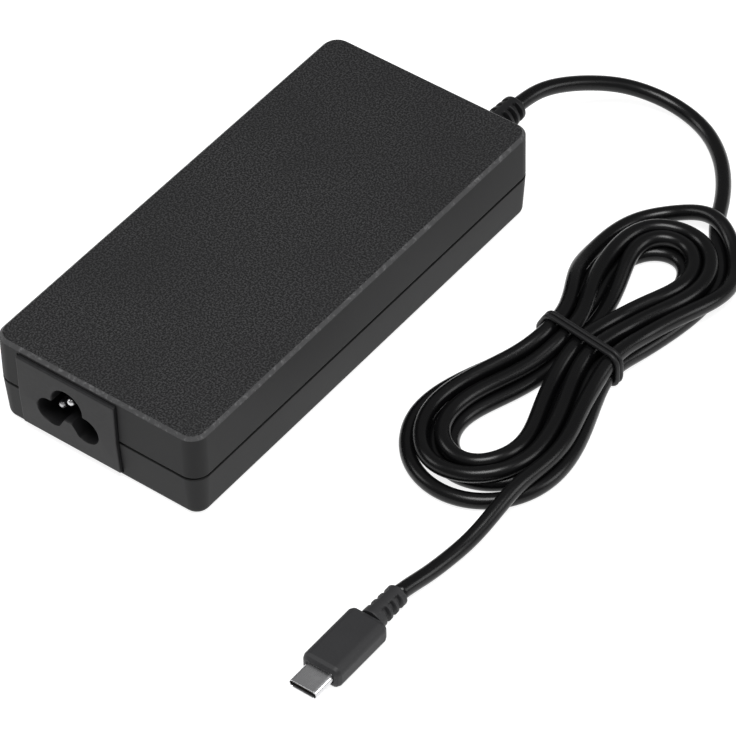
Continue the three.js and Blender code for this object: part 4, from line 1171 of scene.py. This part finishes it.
def paintMetal(name, settings):
    # Drawn or brushed metal: fine lines along one direction, dull patches, bright edges.
    colour = settings["colour"]
    paint = Paint(name, colour, settings["roughness"], {"Metallic": 1.0})
    lines = paint.cloud(settings["line"], 3.0, 0.65, paint.stretched(settings["along"]))
    dull = paint.cloud(6 * mm, 4.0, 0.6, offset=4.0).ramp(0.4, 0.75)
    ridge = paint.edges().ramp(0.52, 0.62)
    base = paint.blend(dull * 0.45, colour, shade(colour, 0.62))
    base = paint.blend(ridge * 0.5, base, shade(colour, 1.25))
    paint.emboss(lines, settings["depth"], 0.7)
    return paint.done(base, settings["roughness"] + lines * 0.14 + dull * 0.16 - 0.08)


metalFinishes = {
    "bare_metal": {"colour": (0.6, 0.6, 0.61), "roughness": 0.27, "line": 0.12 * mm,
                   "along": (1, 0.12, 1), "depth": 0.004 * mm},
    "aluminium": {"colour": (0.6, 0.61, 0.62), "roughness": 0.36, "line": 0.16 * mm,
                  "along": (1, 0.06, 1), "depth": 0.006 * mm},
    "gold": {"colour": (0.85, 0.58, 0.22), "roughness": 0.24, "line": 0.05 * mm,
             "along": (1, 0.2, 1), "depth": 0.002 * mm},
}


def paintWinding(name):
    # Enamelled copper wire, turn beside turn, with painted shade in the grooves between turns.
    colour = (0.55, 0.19, 0.05)
    paint = Paint(name, colour, 0.3, {"Metallic": 0.85, "Coat Weight": 0.4, "Coat Roughness": 0.15})
    turns = paint.waves(0.55 * mm, "Z", 0.6) * 0.6 + paint.waves(0.55 * mm, "DIAGONAL", 0.8) * 0.4
    burnt = paint.cloud(4 * mm, 3.0, offset=1.0).ramp(0.45, 0.75)
    # Darkened where the turns dip: painted shade in the grooves between them.
    base = paint.blend(turns.ramp(0.45, 0.1), colour, shade(colour, 0.3))
    base = paint.blend(burnt * 0.5, base, (0.3, 0.07, 0.025))
    paint.emboss(turns, 0.16 * mm)
    return paint.done(base, 0.24 + burnt * 0.2 + turns.ramp(0.5, 0.1) * 0.2)


def paintBoard(name):
    # Green solder mask over tracks, with round pads.
    mask = (0.012, 0.105, 0.045)
    paint = Paint(name, mask, 0.38, {"Coat Weight": 0.3, "Coat Roughness": 0.2})
    blocks = paint.add("ShaderNodeTexBrick", {"offset": 0.37, "offset_frequency": 3}, {
        "Vector": paint.place, "Scale": 1 / (9 * mm), "Mortar Size": 0.035, "Mortar Smooth": 0.1,
        "Bias": 0.0, "Brick Width": 0.9, "Row Height": 0.55,
    })
    gaps = Amount(paint, blocks.outputs["Fac"])
    pads = paint.cells(4.4 * mm).ramp(0.17, 0.14)
    weave = paint.waves(0.5 * mm, "X", 0.2) * paint.waves(0.5 * mm, "Y", 0.2)
    base = paint.blend(gaps, shade(mask, 1.5), shade(mask, 0.6))
    base = paint.blend(weave * 0.2, base, (0.08, 0.16, 0.06))
    base = paint.blend(pads, base, (0.62, 0.6, 0.57))
    paint.feed("Metallic", pads * 0.9)
    paint.emboss(pads - gaps * 0.6, 0.04 * mm)
    return paint.done(base, 0.36 + weave * 0.12 + gaps * 0.08 - pads * 0.1)


def paintWrap(name, settings):
    # Film, tape or shrink sleeve: overlapping layers, creases and a slight sheen.
    colour = settings["colour"]
    paint = Paint(name, colour, settings["roughness"],
                  {"Coat Weight": 0.35, "Coat Roughness": 0.18})
    layers = paint.waves(settings["layer"], settings["across"], 0.4)
    creases = paint.cells(7 * mm, "DISTANCE_TO_EDGE").ramp(0.05, 0.0)
    cloudy = paint.cloud(5 * mm, 3.0, 0.6)
    base = paint.blend(layers.ramp(0.5, 0.95) * settings["banding"], colour, settings["band"])
    base = paint.blend(cloudy * 0.3, base, shade(colour, 0.6))
    paint.emboss(layers * 0.5 + creases * 0.5, 0.03 * mm)
    return paint.done(base, settings["roughness"] + cloudy * 0.16 - 0.06 + creases * 0.1)


wrapFinishes = {
    "film": {"colour": (0.022, 0.023, 0.026), "band": (0.05, 0.052, 0.058), "roughness": 0.34,
             "layer": 11 * mm, "across": "Y", "banding": 0.4},
    "tape": {"colour": (0.66, 0.47, 0.09), "band": (0.8, 0.66, 0.25), "roughness": 0.4,
             "layer": 3.4 * mm, "across": "Z", "banding": 0.6},
    "capacitor_sleeve": {"colour": (0.012, 0.016, 0.06), "band": (0.38, 0.4, 0.46), "roughness": 0.34,
                         "layer": 15 * mm, "across": "X", "banding": 0.35},
    "label": {"colour": (0.026, 0.027, 0.03), "band": (0.04, 0.041, 0.045), "roughness": 0.55,
              "layer": 23 * mm, "across": "Y", "banding": 0.5},
}

wireFinishes = {
    "red_wire": (0.42, 0.018, 0.014),
    "blue_wire": (0.02, 0.075, 0.34),
    "brown_wire": (0.12, 0.045, 0.018),
    "green_wire": (0.06, 0.3, 0.05),
}


def paintWire(name, colour):
    # Extruded insulation, paler in patches, with a stranded core showing through its shape.
    paint = Paint(name, colour, 0.4, {"Specular IOR Level": 0.45})
    strands = paint.waves(0.9 * mm, "DIAGONAL", 1.2)
    bloom = paint.cloud(2.2 * mm, 3.0, 0.6)
    base = paint.blend(bloom.ramp(0.4, 0.8) * 0.4, colour, shade(colour, 1.5))
    paint.emboss(strands, 0.03 * mm, 0.6)
    return paint.done(base, 0.36 + bloom * 0.14)


finishes = {"housing": paintHousing(housingFinish)}
for paintKind, kinds in (
    (paintPlastic, plasticFinishes), (paintMetal, metalFinishes), (paintWrap, wrapFinishes),
    (paintWire, wireFinishes),
):
    for slotName, settings in kinds.items():
        finishes[slotName] = paintKind(slotName + "_finish", settings)
finishes["copper"] = paintWinding("copper_finish")
finishes["circuit_board"] = paintBoard("circuit_board_finish")


def dress(piece, slotName):
    piece.data.materials.clear()
    piece.data.materials.append(finishes[slotName])


pieces = [lidPiece, basePiece, inletPiece, *pinPieces, outletBoot, plugBoot, plugBlock, plugShell,
          tiePiece, cordPiece]
for piece in pieces:
    dress(piece, piece["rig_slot"])

replaced = {name for piece in pieces for name in piece["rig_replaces"]}
for part in frame["record"]["subparts"]:
    name = part["node"]
    if name in nodes and name not in replaced:
        nodes[name].material_slots[0].material = finishes[part["material_slot"]]
print("finishes applied", len(finishes))

# Floor and light.

studio = {
    "floor": (0.35, 0.35, 0.35),
    "floorHalf": 4,
    "glow": 0.85,
    "sky": 0.23,
    "lamps": [
        # name, place, aim, size, watts
        ("overhead", (0.3, -0.25, 1.15), (0.04, 0.03, 0), (0.7, 0.5), 15),
        ("left", (-1.0, -0.5, 0.7), (0.03, 0, 0), (0.5, 0.7), 5),
        ("right", (1.0, 0.5, 0.6), (0.05, 0, 0), (0.4, 0.6), 3.5),
    ],
}


def makeFloor():
    half = studio["floorHalf"]
    corners = [(-half, -half, 0), (half, -half, 0), (half, half, 0), (-half, half, 0)]
    mesh = bpy.data.meshes.new("floor")
    mesh.from_pydata(corners, [], [(0, 1, 2, 3)])
    floor = addObject("floor", mesh)
    paint = Paint("pale_floor", studio["floor"], 0.9, {
        "Specular IOR Level": 0.1, "Emission Color": (1, 1, 1), "Emission Strength": studio["glow"],
    })
    mesh.materials.append(paint.material)


def addLamp(name, place, aim, size, watts):
    data = bpy.data.lights.new(name, "AREA")
    data.shape = "RECTANGLE"
    data.size, data.size_y = size
    data.energy = watts
    lamp = addObject(name, data)
    lamp.matrix_world = facing(Vector(place), Vector(aim) - Vector(place))


def lightStudio():
    world = bpy.data.worlds.new("studio")
    bpy.context.scene.world = world
    world.use_nodes = True
    world.node_tree.nodes["Background"].inputs["Color"].default_value = (1, 1, 1, 1)
    world.node_tree.nodes["Background"].inputs["Strength"].default_value = studio["sky"]
    for lamp in studio["lamps"]:
        addLamp(*lamp)
    bpy.context.scene.view_settings.view_transform = "Standard"


makeFloor()
lightStudio()
print("studio lit")
